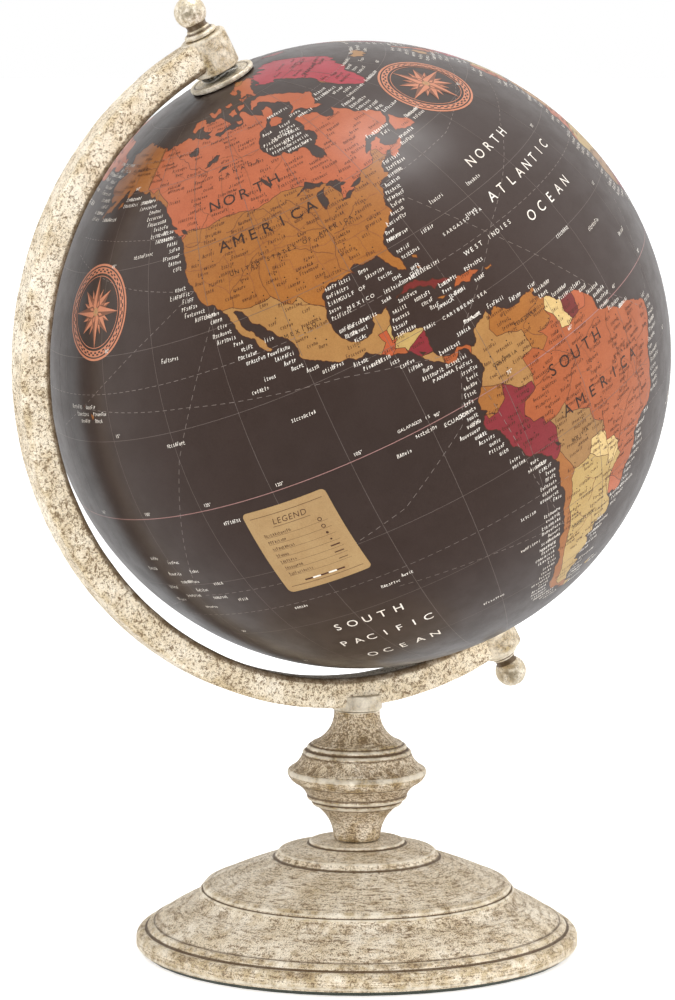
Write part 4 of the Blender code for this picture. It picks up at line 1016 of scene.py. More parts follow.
# Countries of the other continents: an ink and the middle of each of its regions
REGIONS = (
    ("orange", -8, 39.5), ("lemon", -3.5, 40), ("crimson", 2.5, 47), ("coral", -2, 53), ("tan", -8, 53),
    ("ochre_gold", 10, 51), ("lemon", 10, 46.8), ("olive", 12.5, 42.8), ("maroon", 9, 61.5, 20, 69.5),
    ("tan", 16, 63), ("orange", 26, 63), ("coral", 9, 56), ("pale", 19, 52), ("ochre", 18, 48), ("lemon", 25, 46),
    ("coral", 23, 40.5), ("tan", 19, 43.5), ("ochre", 25, 56.8), ("olive", 28, 53.5), ("tan", 32, 49), ("coral",
    38, 56, 45, 52, 50, 60, 60, 64, 42, 66, 70, 60, 85, 60, 100, 62, 115, 60, 130, 62, 145, 64, 165, 66, 180, 67,
    135, 52, 95, 70, 120, 70, 110, 54, 45, 45, 95, 53.5, 160, 57, 141, 50, 62, 54),
    ("tan", 60, 49, 70, 48, 80, 47), ("ochre", 60, 40), ("lemon", 66, 41), ("maroon", 74, 40),
    ("ochre_gold", 66, 34), ("pale", 69, 29), ("orange", 54, 32, 58, 34), ("lemon", 43.5, 33.5),
    ("crimson", 38, 33.5), ("ochre_gold", 30, 39, 38, 39), ("pale", 45, 41.5), ("ochre", 42, 26, 47, 22, 50, 19.5),
    ("maroon", 47, 15.5), ("lemon", 56.5, 21), ("crimson", 76, 28, 78, 22, 77, 14, 85, 23, 93, 26),
    ("tan", 84, 28.8), ("ochre_gold", 80, 40, 85, 36, 90, 32, 100, 37, 110, 40, 105, 30, 112, 28, 117, 35, 125, 46,
    122, 50.5, 120, 26.5, 103, 25, 92, 43), ("orange", 98, 47.5, 108, 46), ("tan", 96, 21, 98.5, 14),
    ("lemon", 101, 15.5, 99.5, 8.5), ("coral", 105.5, 19, 108, 14, 106, 11), ("ochre", 104.5, 12.7),
    ("maroon", 102, 4, 114, 3.5), ("tan", 100, 0, 104, -4, 110, -7, 114, -1, 121, -2, 118, -8.5, 136, -4),
    ("orange", 121, 16, 125, 8), ("crimson", 144, -6), ("crimson", 138, 36, 143, 43, 131, 32.5),
    ("pale", 127.5, 36.3), ("ochre", 126.5, 40.3), ("ochre_gold", 122, -25), ("tan", 134, -24),
    ("coral", 146, -22), ("lemon", 147, -33.5, 147, -42), ("orange", 133, -14), ("maroon", 175, -39, 170, -44),
    ("tan", -6, 32), ("coral", -13, 25), ("lemon", -10, 19), ("ochre_gold", -2, 18), ("orange", 3, 28),
    ("maroon", 9.5, 34.5), ("tan", 17, 27), ("ochre", 29, 27), ("crimson", 30, 15.5), ("coral", 18.5, 15),
    ("lemon", 9, 17), ("ochre_gold", 8, 9.5), ("olive", -14, 14), ("maroon", -10.5, 10.5), ("tan", -6, 7.5),
    ("orange", -1, 8), ("pale", -1.5, 12.8), ("pale", 12.5, 5), ("ochre", 20.5, 6.5), ("tan", 30, 8),
    ("ochre_gold", 39, 8.5), ("pale", 38.5, 15), ("coral", 45.5, 4, 49, 9), ("lemon", 38, 0.5),
    ("purple", 32, 1.5), ("orange", 22, -3, 26, -7), ("olive", 12, -1.5), ("maroon", 17.5, -12), ("tan", 27, -14),
    ("coral", 35, -6.5), ("ochre", 38, -15, 34, -22.5), ("pale", 29.5, -19.5), ("ochre_gold", 24, -22.5),
    ("lemon", 17, -22), ("crimson", 22, -30.5, 28, -28), ("tan", 47, -19),
)

# Rivers, state lines and sea routes, as longitude, latitude pairs
RIVERS = (
    (-95.2, 47.2, -93, 44.8, -91, 42.5, -91, 40, -89.5, 37, -91, 33.5, -91.5, 31, -89.6, 29.3),
    (-112, 46, -107, 48, -101, 47.5, -97, 43, -95, 40, -90.3, 38.8),
    (-104, 38.3, -98, 37.8, -94, 35.3, -91.2, 33.8),
    (-106.5, 37.7, -106.6, 32, -103, 29, -99.5, 27.5, -97.2, 25.9), (-106, 40, -111, 37, -114.5, 35, -114.7, 32.2),
    (-116, 51, -118, 49, -119.5, 46, -123.5, 46.2), (-118, 57, -115, 60, -122, 62, -126, 65, -134.5, 69),
    (-136, 62, -141, 64.8, -148, 65.5, -157, 64.5, -163, 62.8), (-80, 40.5, -84, 38.6, -89, 37), (-74, -10, -74.5,
    -5, -70, -4, -65, -3, -60, -3.2, -55, -2, -51.5, -0.8), (-67, 2, -65, 0, -62, -1.6, -60, -3.2),
    (-66, -10, -63, -7.5, -60, -4.5, -58.6, -3.3),
    (-47, -17, -51, -20, -54, -24, -57, -27.3, -59, -31, -58.5, -34), (-57.5, -16, -57.8, -22, -58, -27),
    (-43.5, -20, -45, -15, -42, -10, -38, -9.2, -36.5, -10.5), (-49, -16, -48.6, -9, -49.5, -3, -48.5, -1.2),
    (-64, 3, -67, 6, -64, 8, -61, 9), (32, 2, 31, 9, 33, 15, 31, 19, 33, 24, 31, 30),
    (28, -10, 25, 0, 18, 0.5, 13, -5.5), (-10, 10, -3, 16, 4, 12, 6, 5),
    (110, 52, 108, 60, 118, 61, 127, 65, 126, 72), (91, 35, 103, 28, 112, 30, 121, 31.5),
    (96, 34, 104, 37, 110, 39, 118, 38), (83, 51, 76, 55, 68, 61, 68, 66), (92, 52, 90, 60, 87, 66, 83, 71),
    (79, 30, 82, 25.5, 88, 24, 90, 22.8), (10, 47.5, 18, 47.5, 20, 45, 28.5, 45),
    (35, 57, 47, 56, 49, 50, 45.5, 48, 48, 46), (141, -27, 144, -33, 139.5, -35.4),
)
STATE_LINES = (
    (-124.2, 46.2, -119, 45.9, -117, 46), (-124.3, 42, -114, 42, -111, 42), (-117, 49, -117, 44, -117, 42),
    (-120, 42, -120, 39, -114.6, 35), (-114, 42, -114, 37, -114.5, 35), (-111, 45, -104, 45), (-111, 45, -111, 41),
    (-109, 41, -109, 31.4), (-104, 49, -104, 41), (-111, 41, -102, 41), (-102, 41, -102, 37),
    (-114, 37, -94.6, 37), (-103, 37, -103, 32), (-103, 36.5, -100, 36.5, -100, 34.5, -94.5, 33.8),
    (-94.5, 36.5, -94.3, 33, -93.8, 29.8), (-104, 46, -96.6, 46), (-104, 43, -96.4, 43), (-102, 40, -95.4, 40),
    (-97, 49, -96.5, 43.5, -95.5, 40, -94.6, 37), (-96.4, 43.5, -91.2, 43.5), (-95.7, 40.6, -91.5, 40.5),
    (-94.4, 36.5, -89.5, 36.5, -81.7, 36.5, -76, 36.5), (-94, 33, -91.2, 33), (-88.1, 35, -84.3, 35, -83, 35),
    (-88.4, 35, -88.4, 30.3), (-85.5, 35, -85, 32, -85, 31), (-87.6, 31, -85, 31, -82.2, 30.5),
    (-87.5, 41.6, -87.6, 38), (-84.8, 41.7, -84.8, 39.1), (-80.5, 42, -80.5, 40.6), (-87.5, 41.7, -84.8, 41.7),
    (-83, 35, -81, 32.2), (-79.7, 42, -75.3, 42), (-79.5, 39.7, -75.6, 39.7),
    (-92.8, 46.7, -90.5, 46.3, -88, 45.3), (-91.5, 42.5, -87.8, 42.5), (-120, 60, -102, 60, -94.8, 60),
    (-120, 60, -120, 54, -114, 49), (-110, 60, -110, 49), (-102, 60, -101.5, 49),
    (-95.2, 49, -95.2, 52.8, -89, 56.8), (-136, 69, -132, 65, -124, 60), (-110, 68, -104, 64.5, -102, 60),
    (-79.5, 51.5, -79.5, 47), (-141, 60.3, -124, 60), (-60, -7, -56, -9.5, -50, -9.8),
    (-50, -5.4, -48.4, -10, -46, -13, -46, -15), (-46, -3, -45, -8, -46, -10), (-53, -18, -51, -19.8, -47.5, -20),
    (-61, -8.7, -60, -13.5), (-56, 2, -58, -2, -56.5, -6.5), (-53, -23, -50, -22.8), (-44, -14.5, -40, -16),
    (-42, -4, -41, -9), (-54, -27.2, -50, -26), (-47, -12.5, -50, -16, -53, -18), (-65, -26, -62, -28, -64.5, -32),
    (-68, -32, -65, -36, -68, -38, -71, -39), (-65, -36, -63.4, -36, -63, -41),
)
ROUTES = (
    (-74, 40.5, -50, 41.5, -30, 46, -8, 49.5), (-79.8, 9.7, -60, 24, -35, 36, -10, 43),
    (-122.7, 37.6, -140, 41, -158, 45.5, -169, 48.5), (-122.7, 37.6, -140, 30, -157.8, 21.5, -169, 17),
    (-79.6, 8.6, -100, 14, -130, 18.5, -157.6, 21), (-79.6, 8.6, -85, -3, -100, -12, -125, -18, -149, -17.8),
    (-118.5, 33.6, -135, 10, -149, -17.6), (-77, -12.3, -79.6, 8.4), (-71.8, -33, -90, -30, -109, -27.3),
    (-43.4, -23.3, -35, -10, -25, 10, -17.6, 28), (-74, 40.4, -60, 20, -48, 3, -34.6, -8.2),
    (-71.8, -33.2, -76, -20, -79.6, 8.4), (-124.6, 48.4, -140, 50, -155, 51, -169, 51.4),
    (-149.6, -17.4, -169, -23), (18, -34.6, 0, -18, -17, 6, -17.8, 14.4), (44, 12.4, 60, 12, 80, 5.6, 96, 6),
    (104, 1, 108, 8, 114, 22), (32, -30, 60, -20, 90, -10, 105, -7), (115.4, -32, 80, -32, 32, -30),
)


# The flat map's two ends, which are one meridian
WEST_END = -169.0
EAST_END = 191.0


def on_ball(where, lift=0.0):
    """Points on the ball from an array of longitude, latitude: centre + radius (cos lat (cos east OUTWARD
    + sin east EAST) + sin lat NORTH), east counted from the facing meridian. lift is above the print."""
    east = np.radians(where[..., 0] - FACING_MERIDIAN)[..., None]
    north = np.radians(where[..., 1])[..., None]
    level = np.where(np.abs(where[..., 1:]) > 89.999, 0.0, np.cos(north))
    ray = level * (np.cos(east) * OUTWARD + np.sin(east) * EAST) + np.sin(north) * NORTH
    return CENTRE + (PRINT_RADIUS + lift) * ray


def chance(where, salt=0):
    """A fixed number from 0 to 1 for each point of an array: the fraction of a large sine of its coordinates."""
    mixed = np.sin(where[..., 0] * 12.9898 + where[..., 1] * 78.233 + salt * 37.719) * 43758.5453
    return mixed - np.floor(mixed)


def roughened(points, step, amount, salt=0, closed=True):
    """An outline made ragged: while a side is longer than step, its middle moves sideways by a fixed
    chance of up to amount times its length. The side's direction is taken from its lower end, so two
    outlines that share a side keep sharing it."""
    points = np.array(points, float).reshape(-1, 2)
    for _round in range(7):
        ahead = np.roll(points, -1, 0)
        side = ahead - points
        length = np.hypot(side[:, 0] * np.cos(np.radians((points + ahead)[:, 1] / 2)), side[:, 1])
        on_seam = (np.abs(side[:, 0]) < 1e-6) & ((points[:, 0] <= WEST_END) | (points[:, 0] >= EAST_END))
        at_pole = (points[:, 1] <= -90) & (ahead[:, 1] <= -90)
        split = (length > step) & ~on_seam & ~at_pole
        if not closed:
            split[-1] = False
        if not split.any():
            break
        flip = np.where((side[:, 0] < 0) | ((side[:, 0] == 0) & (side[:, 1] < 0)), -1.0, 1.0)
        middle = (points + ahead) / 2
        shift = (chance(np.round(middle, 4), salt) - 0.5) * 2 * amount * flip
        middle = middle + np.stack([-side[:, 1], side[:, 0]], 1) * shift[:, None]
        where = np.flatnonzero(split)
        points = np.insert(points, where + 1, middle[where], axis=0)
    return np.clip(points, (WEST_END, -90), (EAST_END, 90))


def clipped(polygon, middle, direction):
    """The part of a convex polygon on the near side of a line through middle, square to direction."""
    away = (polygon - middle) @ direction
    ahead = np.roll(away, -1)
    after = np.roll(polygon, -1, 0)
    crossing = (away > 0) != (ahead > 0)
    share = np.where(crossing, away / np.where(away == ahead, 1, away - ahead), 0)[:, None]
    cut = polygon + (after - polygon) * share
    both = np.stack([polygon, cut], 1).reshape(-1, 2)
    return both[np.stack([away <= 0, crossing], 1).ravel()]


def inside(places, outline):
    """Which places lie inside an outline: a line from there to the east crosses it an odd number of times."""
    x, y = places[:, :1], places[:, 1:]
    ahead = np.roll(outline, -1, 0)
    crossings = np.zeros(len(places), int)
    for first in range(0, len(outline), 256):
        a, b = outline[first:first + 256], ahead[first:first + 256]
        straddles = (a[:, 1] > y) != (b[:, 1] > y)
        rise = np.where(a[:, 1] == b[:, 1], 1.0, b[:, 1] - a[:, 1])
        crossings += (straddles & (a[:, 0] + (y - a[:, 1]) * (b[:, 0] - a[:, 0]) / rise > x)).sum(1)
    return crossings % 2 == 1


def region_cells():
    """The cell of points nearest to each region's middle, as (country number, ink, outline)."""
    spread = np.array((0.75, 1.0))  # a degree of longitude counts for less than one of latitude
    neighbours = 23
    middles = []
    for number, (ink, *places) in enumerate(REGIONS):
        middles += [(number, ink, np.array(pair) * spread) for pair in zip(places[::2], places[1::2])]
    cells = []
    for number, ink, own in middles:
        cell = np.array(((-19, -60), (190.9, -60), (190.9, 84), (-19, 84)), float) * spread
        near = sorted(middles, key=lambda other: np.hypot(*(other[2] - own)))[1:neighbours + 1]
        for _number, _ink, other in near:
            cell = clipped(cell, (own + other) / 2, other - own)
        cells.append((number, ink, cell / spread))
    return cells


def map_outlines():
    """Every outline on the map with what it does: land, lake, or the number and ink of a country."""
    outlines = []
    for number, points in enumerate(LAND.values()):
        outlines.append(("land", None, roughened(points, step=0.55, amount=0.17, salt=number)))
    for points in LAKES.values():
        outlines.append(("lake", None, roughened(points, step=0.6, amount=0.15, salt=3)))
    for number, ink, cell in region_cells():
        outlines.append((number, ink, roughened(np.round(cell, 5), step=1.1, amount=0.13, salt=5)))
    for number, (ink, points) in enumerate(COUNTRIES.values()):
        outlines.append((len(REGIONS) + number, ink, roughened(points, step=0.9, amount=0.07, salt=7)))
    return outlines


def level_row(first, last, gap, lat):
    """Places gap degrees apart along a parallel."""
    lon = np.arange(first, last, gap)
    return np.stack([lon, np.full(len(lon), lat)], 1)


def ball_net(outlines):
    """The flat map cut into triangles whose sides follow every outline.

    Outlines and a loose grid of points every few degrees, wider apart towards the poles, go into one
    constrained triangulation of longitude and latitude. Gives points, triangles, and for each triangle
    its country: -1 sea, -2 land with no country of its own.
    """
    round_equator = 144
    loose = []
    for number, level in enumerate(np.arange(-87.5, 88, 2.5)):
        gap = 360 / max(8, round(round_equator * math.cos(math.radians(level))))
        loose.append(level_row(WEST_END + gap * (0.5 + 0.5 * (number % 2)), 190.9 - 0.4 * gap, gap, level))
    border = [np.array(((WEST_END, -90), (EAST_END, -90), (EAST_END, 90), (WEST_END, 90)))]
    border += [level_row(-85, 86, 2.5, lon)[:, ::-1] for lon in (WEST_END, EAST_END)]
    border += [level_row(-139, 190, 30.0, lat) for lat in (-90.0, 90.0)]
    points = np.vstack([*[outline for _kind, _ink, outline in outlines], *loose, *border])
    starts = np.cumsum([0] + [len(outline) for _kind, _ink, outline in outlines])
    loops = [list(range(a, b)) for a, b in zip(starts, starts[1:])]
    made = delaunay_2d_cdt([Vector(pair) for pair in points.tolist()], [], loops, 0, 1e-5, False)
    flat = np.array([tuple(vert) for vert in made[0]])
    triangles = np.array(made[2])
    middle = flat[triangles].mean(1)
    land = np.zeros(len(triangles), bool)
    owner = np.full(len(triangles), -2)
    for kind, _ink, outline in outlines:
        near = np.flatnonzero(((middle > outline.min(0)) & (middle < outline.max(0))).all(1))
        within = near[inside(middle[near], outline)]
        if kind in ("land", "lake"):
            land[within] = kind == "land"
        else:
            owner[within] = kind
    country = np.where(land, owner, -1)
    return flat, triangles, country


def facing_out(points, faces):
    """Faces on the ball with those that face inward turned round."""
    corner = points[faces]
    normal = np.cross(corner[:, 1] - corner[:, 0], corner[:, 2] - corner[:, 0])
    inward = (normal * (corner[:, 0] - CENTRE)).sum(1) < 0
    return np.where(inward[:, None], faces[:, ::-1], faces)


def paint(obj, colours):
    """Gives each corner of each face its ink."""
    layer = obj.data.attributes.new("ink", "FLOAT_COLOR", "CORNER")
    layer.data.foreach_set("color", colours.astype(np.float32).ravel())


def ball_map(inks, outlines, material):
    """The printed ball: the flat net carried onto the ball, its seam and poles welded, one ink a triangle."""
    flat, triangles, country = ball_net(outlines)
    at_pole = np.abs(np.abs(flat[:, 1]) - 90) < 1e-6
    flat[at_pole | (np.abs(flat[:, 0] - EAST_END) < 1e-6), 0] = WEST_END
    flat[at_pole, 1] = np.sign(flat[at_pole, 1]) * 90
    flat, welded = np.unique(np.round(flat, 7), axis=0, return_inverse=True)
    triangles = welded.reshape(-1)[triangles]
    whole = (triangles != np.roll(triangles, 1, 1)).all(1)
    country = country[whole]
    points = on_ball(flat)
    triangles = facing_out(points, triangles[whole])
    normals = (points - CENTRE) / PRINT_RADIUS
    ball = piece("printed_ball", points, [triangles], material, "globe", normals=normals)
    colours = {-1: inks["sea"], -2: inks["ochre_gold"]}
    colours.update({kind: inks[ink] for kind, ink, _outline in outlines if ink})
    table = np.array([(*colours[number], 1.0) for number in sorted(colours)])
    painted = table[np.searchsorted(sorted(colours), country)]
    paint(ball, np.repeat(painted, 3, axis=0))
    return ball, flat, triangles, country


def edges_between(triangles, country):
    """Pairs of points between triangles of different countries, with the two countries."""
    sides = np.concatenate([triangles[:, [0, 1]], triangles[:, [1, 2]], triangles[:, [2, 0]]])
    order = np.lexsort(np.sort(sides, 1).T)
    keys = np.sort(sides, 1)[order]
    owner = np.tile(country, 3)[order]
    same = (keys[:-1] == keys[1:]).all(1)
    first, second, ends = owner[:-1][same], owner[1:][same], sides[order][:-1][same]
    differ = first != second
    return ends[differ], first[differ], second[differ]


def ribbons(paths, width, lift):
    """Thin bands printed along lines on the ball, one band for each row of points in paths.

    At each point the band's two edges are the point moved half a width either way, square to the line
    and to the ball's surface. paths is an array lines x points x 3; gives points and faces.
    """
    along = np.gradient(paths, axis=1)
    outward = (paths - CENTRE) / np.linalg.norm(paths - CENTRE, axis=-1, keepdims=True)
    square = np.cross(outward, along)
    square /= np.linalg.norm(square, axis=-1, keepdims=True) + 1e-12
    base = CENTRE + outward * (PRINT_RADIUS + lift)
    half = np.broadcast_to(np.asarray(width, float), paths.shape[:2])[..., None] / 2
    edges = np.stack([base + square * half, base - square * half], 2)
    index = np.arange(edges.size // 3).reshape(edges.shape[:3])
    return edges.reshape(-1, 3), strips(index)


def along_line(pairs, choose):
    """Places along a line through a few places, at the distances that choose gives for its length."""
    places = np.array(pairs, float).reshape(-1, 2)
    step = np.concatenate([[0], np.cumsum(np.hypot(*np.diff(places, axis=0).T))])
    return np.stack([np.interp(choose(step[-1]), step, part) for part in places.T], -1)


def line_points(pairs, per_line):
    """A line through a few places, drawn evenly with per_line points along it."""
    return along_line(pairs, lambda length: np.linspace(0, length, per_line))


def dashes(pairs, dash, gap):
    """Short lines of dash degrees with gaps between them along a line through a few places."""
    third = np.array((0, 0.5, 1.0)) * dash
    return along_line(pairs, lambda length: np.arange(0, length - dash, dash + gap)[:, None] + third)


# ---- lettering

CAP_HEIGHT = 0.729  # of the standard font, for a size of one
LETTER_STEP = 0.72  # from one tiny letter to the next, in letter heights


def letter_shapes(text, height, spacing=1.0, slant=0.0, weight=0.0):
    """Flat letters from the standard font, as points in metres centred on zero, and triangles."""
    curve = bpy.data.curves.new("letters", "FONT")
    curve.body = text
    curve.size = height / CAP_HEIGHT
    curve.space_character = spacing
    curve.shear = slant
    curve.offset = weight
    curve.resolution_u = 3
    holder = bpy.data.objects.new("letters", curve)
    mesh = bpy.data.meshes.new_from_object(holder)
    mesh.calc_loop_triangles()
    points = np.empty(len(mesh.vertices) * 3)
    mesh.vertices.foreach_get("co", points)
    triangles = np.empty(len(mesh.loop_triangles) * 3, np.int32)
    mesh.loop_triangles.foreach_get("vertices", triangles)
    bpy.data.objects.remove(holder)
    bpy.data.curves.remove(curve)
    bpy.data.meshes.remove(mesh)
    points = points.reshape(-1, 3)[:, :2]
    middle = (points.min(0) + points.max(0)) / 2
    return points - middle, triangles.reshape(-1, 3)


def laid_on(points, lon, lat, lift=0.04 * MM):
    """Flat points in metres laid on the ball about a place, rows along its parallel."""
    degrees = points * DEGREES_PER_METRE / (math.cos(math.radians(lat)), 1)
    return on_ball((lon, lat) + degrees, lift)


# Small marks that read as tiny lettering: strokes in a box one unit wide and high
MARKS = np.array((
    ((0.1, 0, 0.1, 1), (0.1, 1, 0.8, 1), (0.1, 0.5, 0.6, 0.5)),
    ((0.1, 0, 0.1, 1), (0.1, 0, 0.8, 0), (0.1, 0.6, 0.7, 0.6)),
    ((0.1, 0, 0.45, 1), (0.45, 1, 0.8, 0), (0.25, 0.4, 0.65, 0.4)),
    ((0.1, 0, 0.1, 0.9), (0.1, 0.8, 0.7, 0.8), (0.7, 0.8, 0.7, 0)),
    ((0.15, 0, 0.15, 0.8), (0.15, 0.8, 0.7, 0.7), (0.7, 0.7, 0.2, 0.4)),
    ((0.7, 0.7, 0.15, 0.6), (0.15, 0.6, 0.15, 0.1), (0.15, 0.1, 0.7, 0)),
    ((0.7, 0.7, 0.2, 0.7), (0.2, 0.7, 0.7, 0.1), (0.7, 0.1, 0.1, 0)),
    ((0.4, 0, 0.4, 1), (0.2, 0.7, 0.65, 0.7), (0.4, 0, 0.65, 0.05)),
    ((0.15, 0.7, 0.15, 0.05), (0.15, 0.05, 0.7, 0.05), (0.7, 0.7, 0.7, 0)),
    ((0.4, 0, 0.4, 0.7), (0.35, 0.9, 0.45, 1), (0.3, 0, 0.5, 0)),
    ((0.15, 0.35, 0.4, 0.7), (0.4, 0.7, 0.7, 0.35), (0.7, 0.35, 0.3, 0)),
    ((0.1, 0.7, 0.4, 0), (0.4, 0, 0.7, 0.7), (0.35, 0, 0.45, 0.1)),
)).reshape(12, 3, 2, 2)


def tiny_words(places, letters, height, anchor, slant=0.15, salt=0):
    """Words of tiny marks along the parallels: each letter takes one row of MARKS by a fixed chance.

    anchor is -1 for words that end at their place, 1 for words that start there, 0 for centred ones.
    Gives the two ends of each stroke in degrees, strokes x 2 x 2. The first letter is taller.
    """
    slot = np.arange(int(letters.max()))
    used = slot < letters[:, None]
    seed = places[:, None, :] + np.stack([slot * 1.37, slot * 0.61], -1)
    glyph = (chance(np.round(seed, 3), salt) * len(MARKS)).astype(int) % len(MARKS)
    advance = LETTER_STEP * height
    start, lon, lat = (part[:, None, None, None] for part in (-letters * advance * (1 - anchor) / 2, *places.T))
    cell = MARKS[glyph]
    tall = np.where(slot == 0, 1.25, 1.0)[None, :, None, None]
    y = cell[..., 1] * tall * height - height / 2
    x = start + (slot[None, :, None, None] + cell[..., 0] * 0.85) * advance + slant * y
    where = np.stack([lon + x * DEGREES_PER_METRE / np.cos(np.radians(lat)), lat + y * DEGREES_PER_METRE], -1)
    return where[used].reshape(-1, 2, 2)


def round_on(points, lon, lat, lift):
    """Flat points in metres laid on the ball about a place with no stretching round it: each goes out
    from the place by its own distance, in its own direction between east and north."""
    place = (on_ball(np.array((lon, lat), float)) - CENTRE) / PRINT_RADIUS
    east = np.cross(NORTH, place)
    east /= np.linalg.norm(east)
    north = np.cross(place, east)
    far = np.linalg.norm(points, axis=1, keepdims=True)
    turn = far / PRINT_RADIUS
    direction = (points[:, :1] * east + points[:, 1:] * north) / np.maximum(far, 1e-12)
    return CENTRE + (PRINT_RADIUS + lift) * (np.cos(turn) * place + np.sin(turn) * direction)


def ring_cells(inner, outer, cells, first=0, every=1, sag=3):
    """Cells of a flat ring as (points, quads); takes each every-th cell from first, with sag steps in each."""
    start = np.arange(first, cells, every) * (2 * math.pi / cells)
    swing = start[:, None] + np.arange(sag + 1) * (2 * math.pi / cells / sag)
    ray = np.stack([np.cos(swing), np.sin(swing)], -1)
    points = np.stack([ray * inner, ray * outer], 2)
    return points.reshape(-1, 2), strips(np.arange(points.size // 2).reshape(points.shape[:3]))


def star_halves(reach, waist, rays, first, half):
    """Half of each ray of a compass star, as strips between its spine and the edge from waist to tip."""
    swing = (np.arange(rays) + first) * (2 * math.pi / rays)
    tip = np.stack([np.cos(swing), np.sin(swing)], -1) * reach
    side = np.stack([np.cos(swing + half), np.sin(swing + half)], -1) * waist
    share = np.linspace(0, 1, 5)[:, None, None]
    points = np.stack([tip * share, side + (tip - side) * share], 2).transpose(1, 0, 2, 3)
    return points.reshape(-1, 2), strips(np.arange(points.size // 2).reshape(points.shape[:3]))


def compass_rose(lon, lat, radius, inks):
    """Parts of a rose: a checked salmon ring between two fine lines, and a star of sixteen rays in two tones."""
    salmon, dark = inks["salmon"], inks["sea"]
    shaded = tuple(0.35 * part for part in salmon)
    flat = [
        (*ring_cells(0.955, 1.0, 48), salmon, 0.030),
        (*ring_cells(0.80, 0.925, 48), salmon, 0.030),
        (*ring_cells(0.825, 0.860, 72, 0, 2, 1), dark, 0.040),
        (*ring_cells(0.865, 0.900, 72, 1, 2, 1), dark, 0.040),
        (*ring_cells(0.735, 0.750, 48), salmon, 0.030),
    ]
    stars = ((0.50, 0.22, 8, 0.5, 0.030), (0.62, 0.20, 4, 0.5, 0.040), (0.76, 0.17, 4, 0.0, 0.050))
    for reach, waist, rays, first, lift in stars:
        half = math.pi / rays * 0.98
        flat.append((*star_halves(reach, waist, rays, first, half), salmon, lift))
        flat.append((*star_halves(reach, waist, rays, first, -half), shaded, lift))
    flat.append((*ring_cells(0.0, 0.085, 24), inks["card"], 0.060))
    flat.append((*ring_cells(0.045, 0.062, 24), salmon, 0.068))
    return [(round_on(points * radius, lon, lat, lift * MM), faces, ink) for points, faces, ink, lift in flat]


def rounded_card(half_wide, half_high, corner):
    """A card with round corners: points (u w(y), y) with u from -1 to 1, where w(y) is half_wide, less
    corner - sqrt(corner^2 - c^2) where the row is c above or below the start of the corner."""
    rows, columns = 33, 21
    y = half_high * np.sin(np.linspace(-math.pi / 2, math.pi / 2, rows))
    into = np.clip(np.abs(y) - (half_high - corner), 0, corner)
    wide = half_wide - corner + np.sqrt(corner**2 - into**2)
    points = np.stack([np.linspace(-1, 1, columns) * wide[:, None], y[:, None] + np.zeros(columns)], -1)
    return points.reshape(-1, 2), strips(np.arange(rows * columns).reshape(rows, columns))


def bar(x, y, wide, high, pieces):
    """A flat upright box in millimetres as a strip, cut across so that it follows the ball."""
    x, y, wide, high = (size * MM for size in (x, y, wide, high))
    run = np.linspace(x, x + wide, pieces + 1)
    points = np.stack([np.stack([run, 0 * run + y + rise], 1) for rise in (0, high)], 1)
    return points.reshape(-1, 2), strips(np.arange(2 * (pieces + 1)).reshape(-1, 2).T)


def legend_card(inks):
    """Parts of the map's key: a tan card, its frame line, the heading, rows of text with signs, a scale bar."""
    lon, lat = -119.4, -11.6
    brown = inks["type_brown"]
    flat = [(*rounded_card(14.6 * MM, 16.2 * MM, 1.6 * MM), inks["card"], 0.030)]
    frame_line = [bar(-12.6, y, 25.2, 0.18, 8) for y in (13.7, -13.9)]
    frame_line += [bar(x, -13.9, 0.18, 27.7, 1) for x in (-12.7, 12.5)]
    flat += [(*line, brown, 0.045) for line in frame_line]
    letters, triangles = letter_shapes("LEGEND", 2.1 * MM, 1.15, 0.25)
    flat.append((letters + (0, 11.2 * MM), triangles, brown, 0.05))
    flat.append((*bar(-6.5, 9.3, 13, 0.16, 4), brown, 0.045))
    rows = np.arange(7)
    level = 7.0 - 2.6 * rows
    for row, y in enumerate(level):
        flat.append((*bar(-11, y - 0.95, 22, 0.09, 6), brown, 0.045))
        if row < 4:
            ring = (0.45, 0.72, 20) if row < 2 else (0.0, 0.45 - 0.1 * (row - 2), 16)
            points, faces = ring_cells(ring[0] * MM, ring[1] * MM, ring[2])
            flat.append((points + (8.5 * MM, y * MM), faces, brown, 0.05))
        else:
            flat.append((*bar(7.0, y - 0.1, 3.2, 0.5 - 0.12 * (row - 4), 3), brown, 0.05))
    for step in range(5):
        flat.append((*bar(-7.0 + 2.8 * step, -12.7, 2.8, 0.6, 2), brown if step % 2 == 0 else inks["white"], 0.05))
    parts = [(round_on(points, lon, lat, lift * MM), faces, ink) for points, faces, ink, lift in flat]
    where = np.stack([lon - 11 * MM * DEGREES_PER_METRE + 0 * rows, lat + level * MM * DEGREES_PER_METRE], 1)
    letters = np.array((13, 9, 11, 6, 8, 9, 12))
    strokes = tiny_words(where, letters, 1.0 * MM, 1, 0.0, 11)
    return parts + [(*ribbons(on_ball(strokes), 0.16 * MM, 0.05 * MM), brown)]


def wide_word(text, lon, lat, wide_mm, high_mm, ink, slant=0.0, weight=0.0):
    """A word with its letters spread evenly along a parallel, wide_mm from end to end."""
    parts = []
    cell = wide_mm * MM / len(text)
    for place, letter in enumerate(text):
        if letter != " ":
            points, triangles = letter_shapes(letter, high_mm * MM, 1.0, slant, weight)
            points = points + ((place + 0.5) * cell - wide_mm * MM / 2, 0)
            parts.append((laid_on(points, lon, lat, 0.045 * MM), triangles, ink))
    return parts


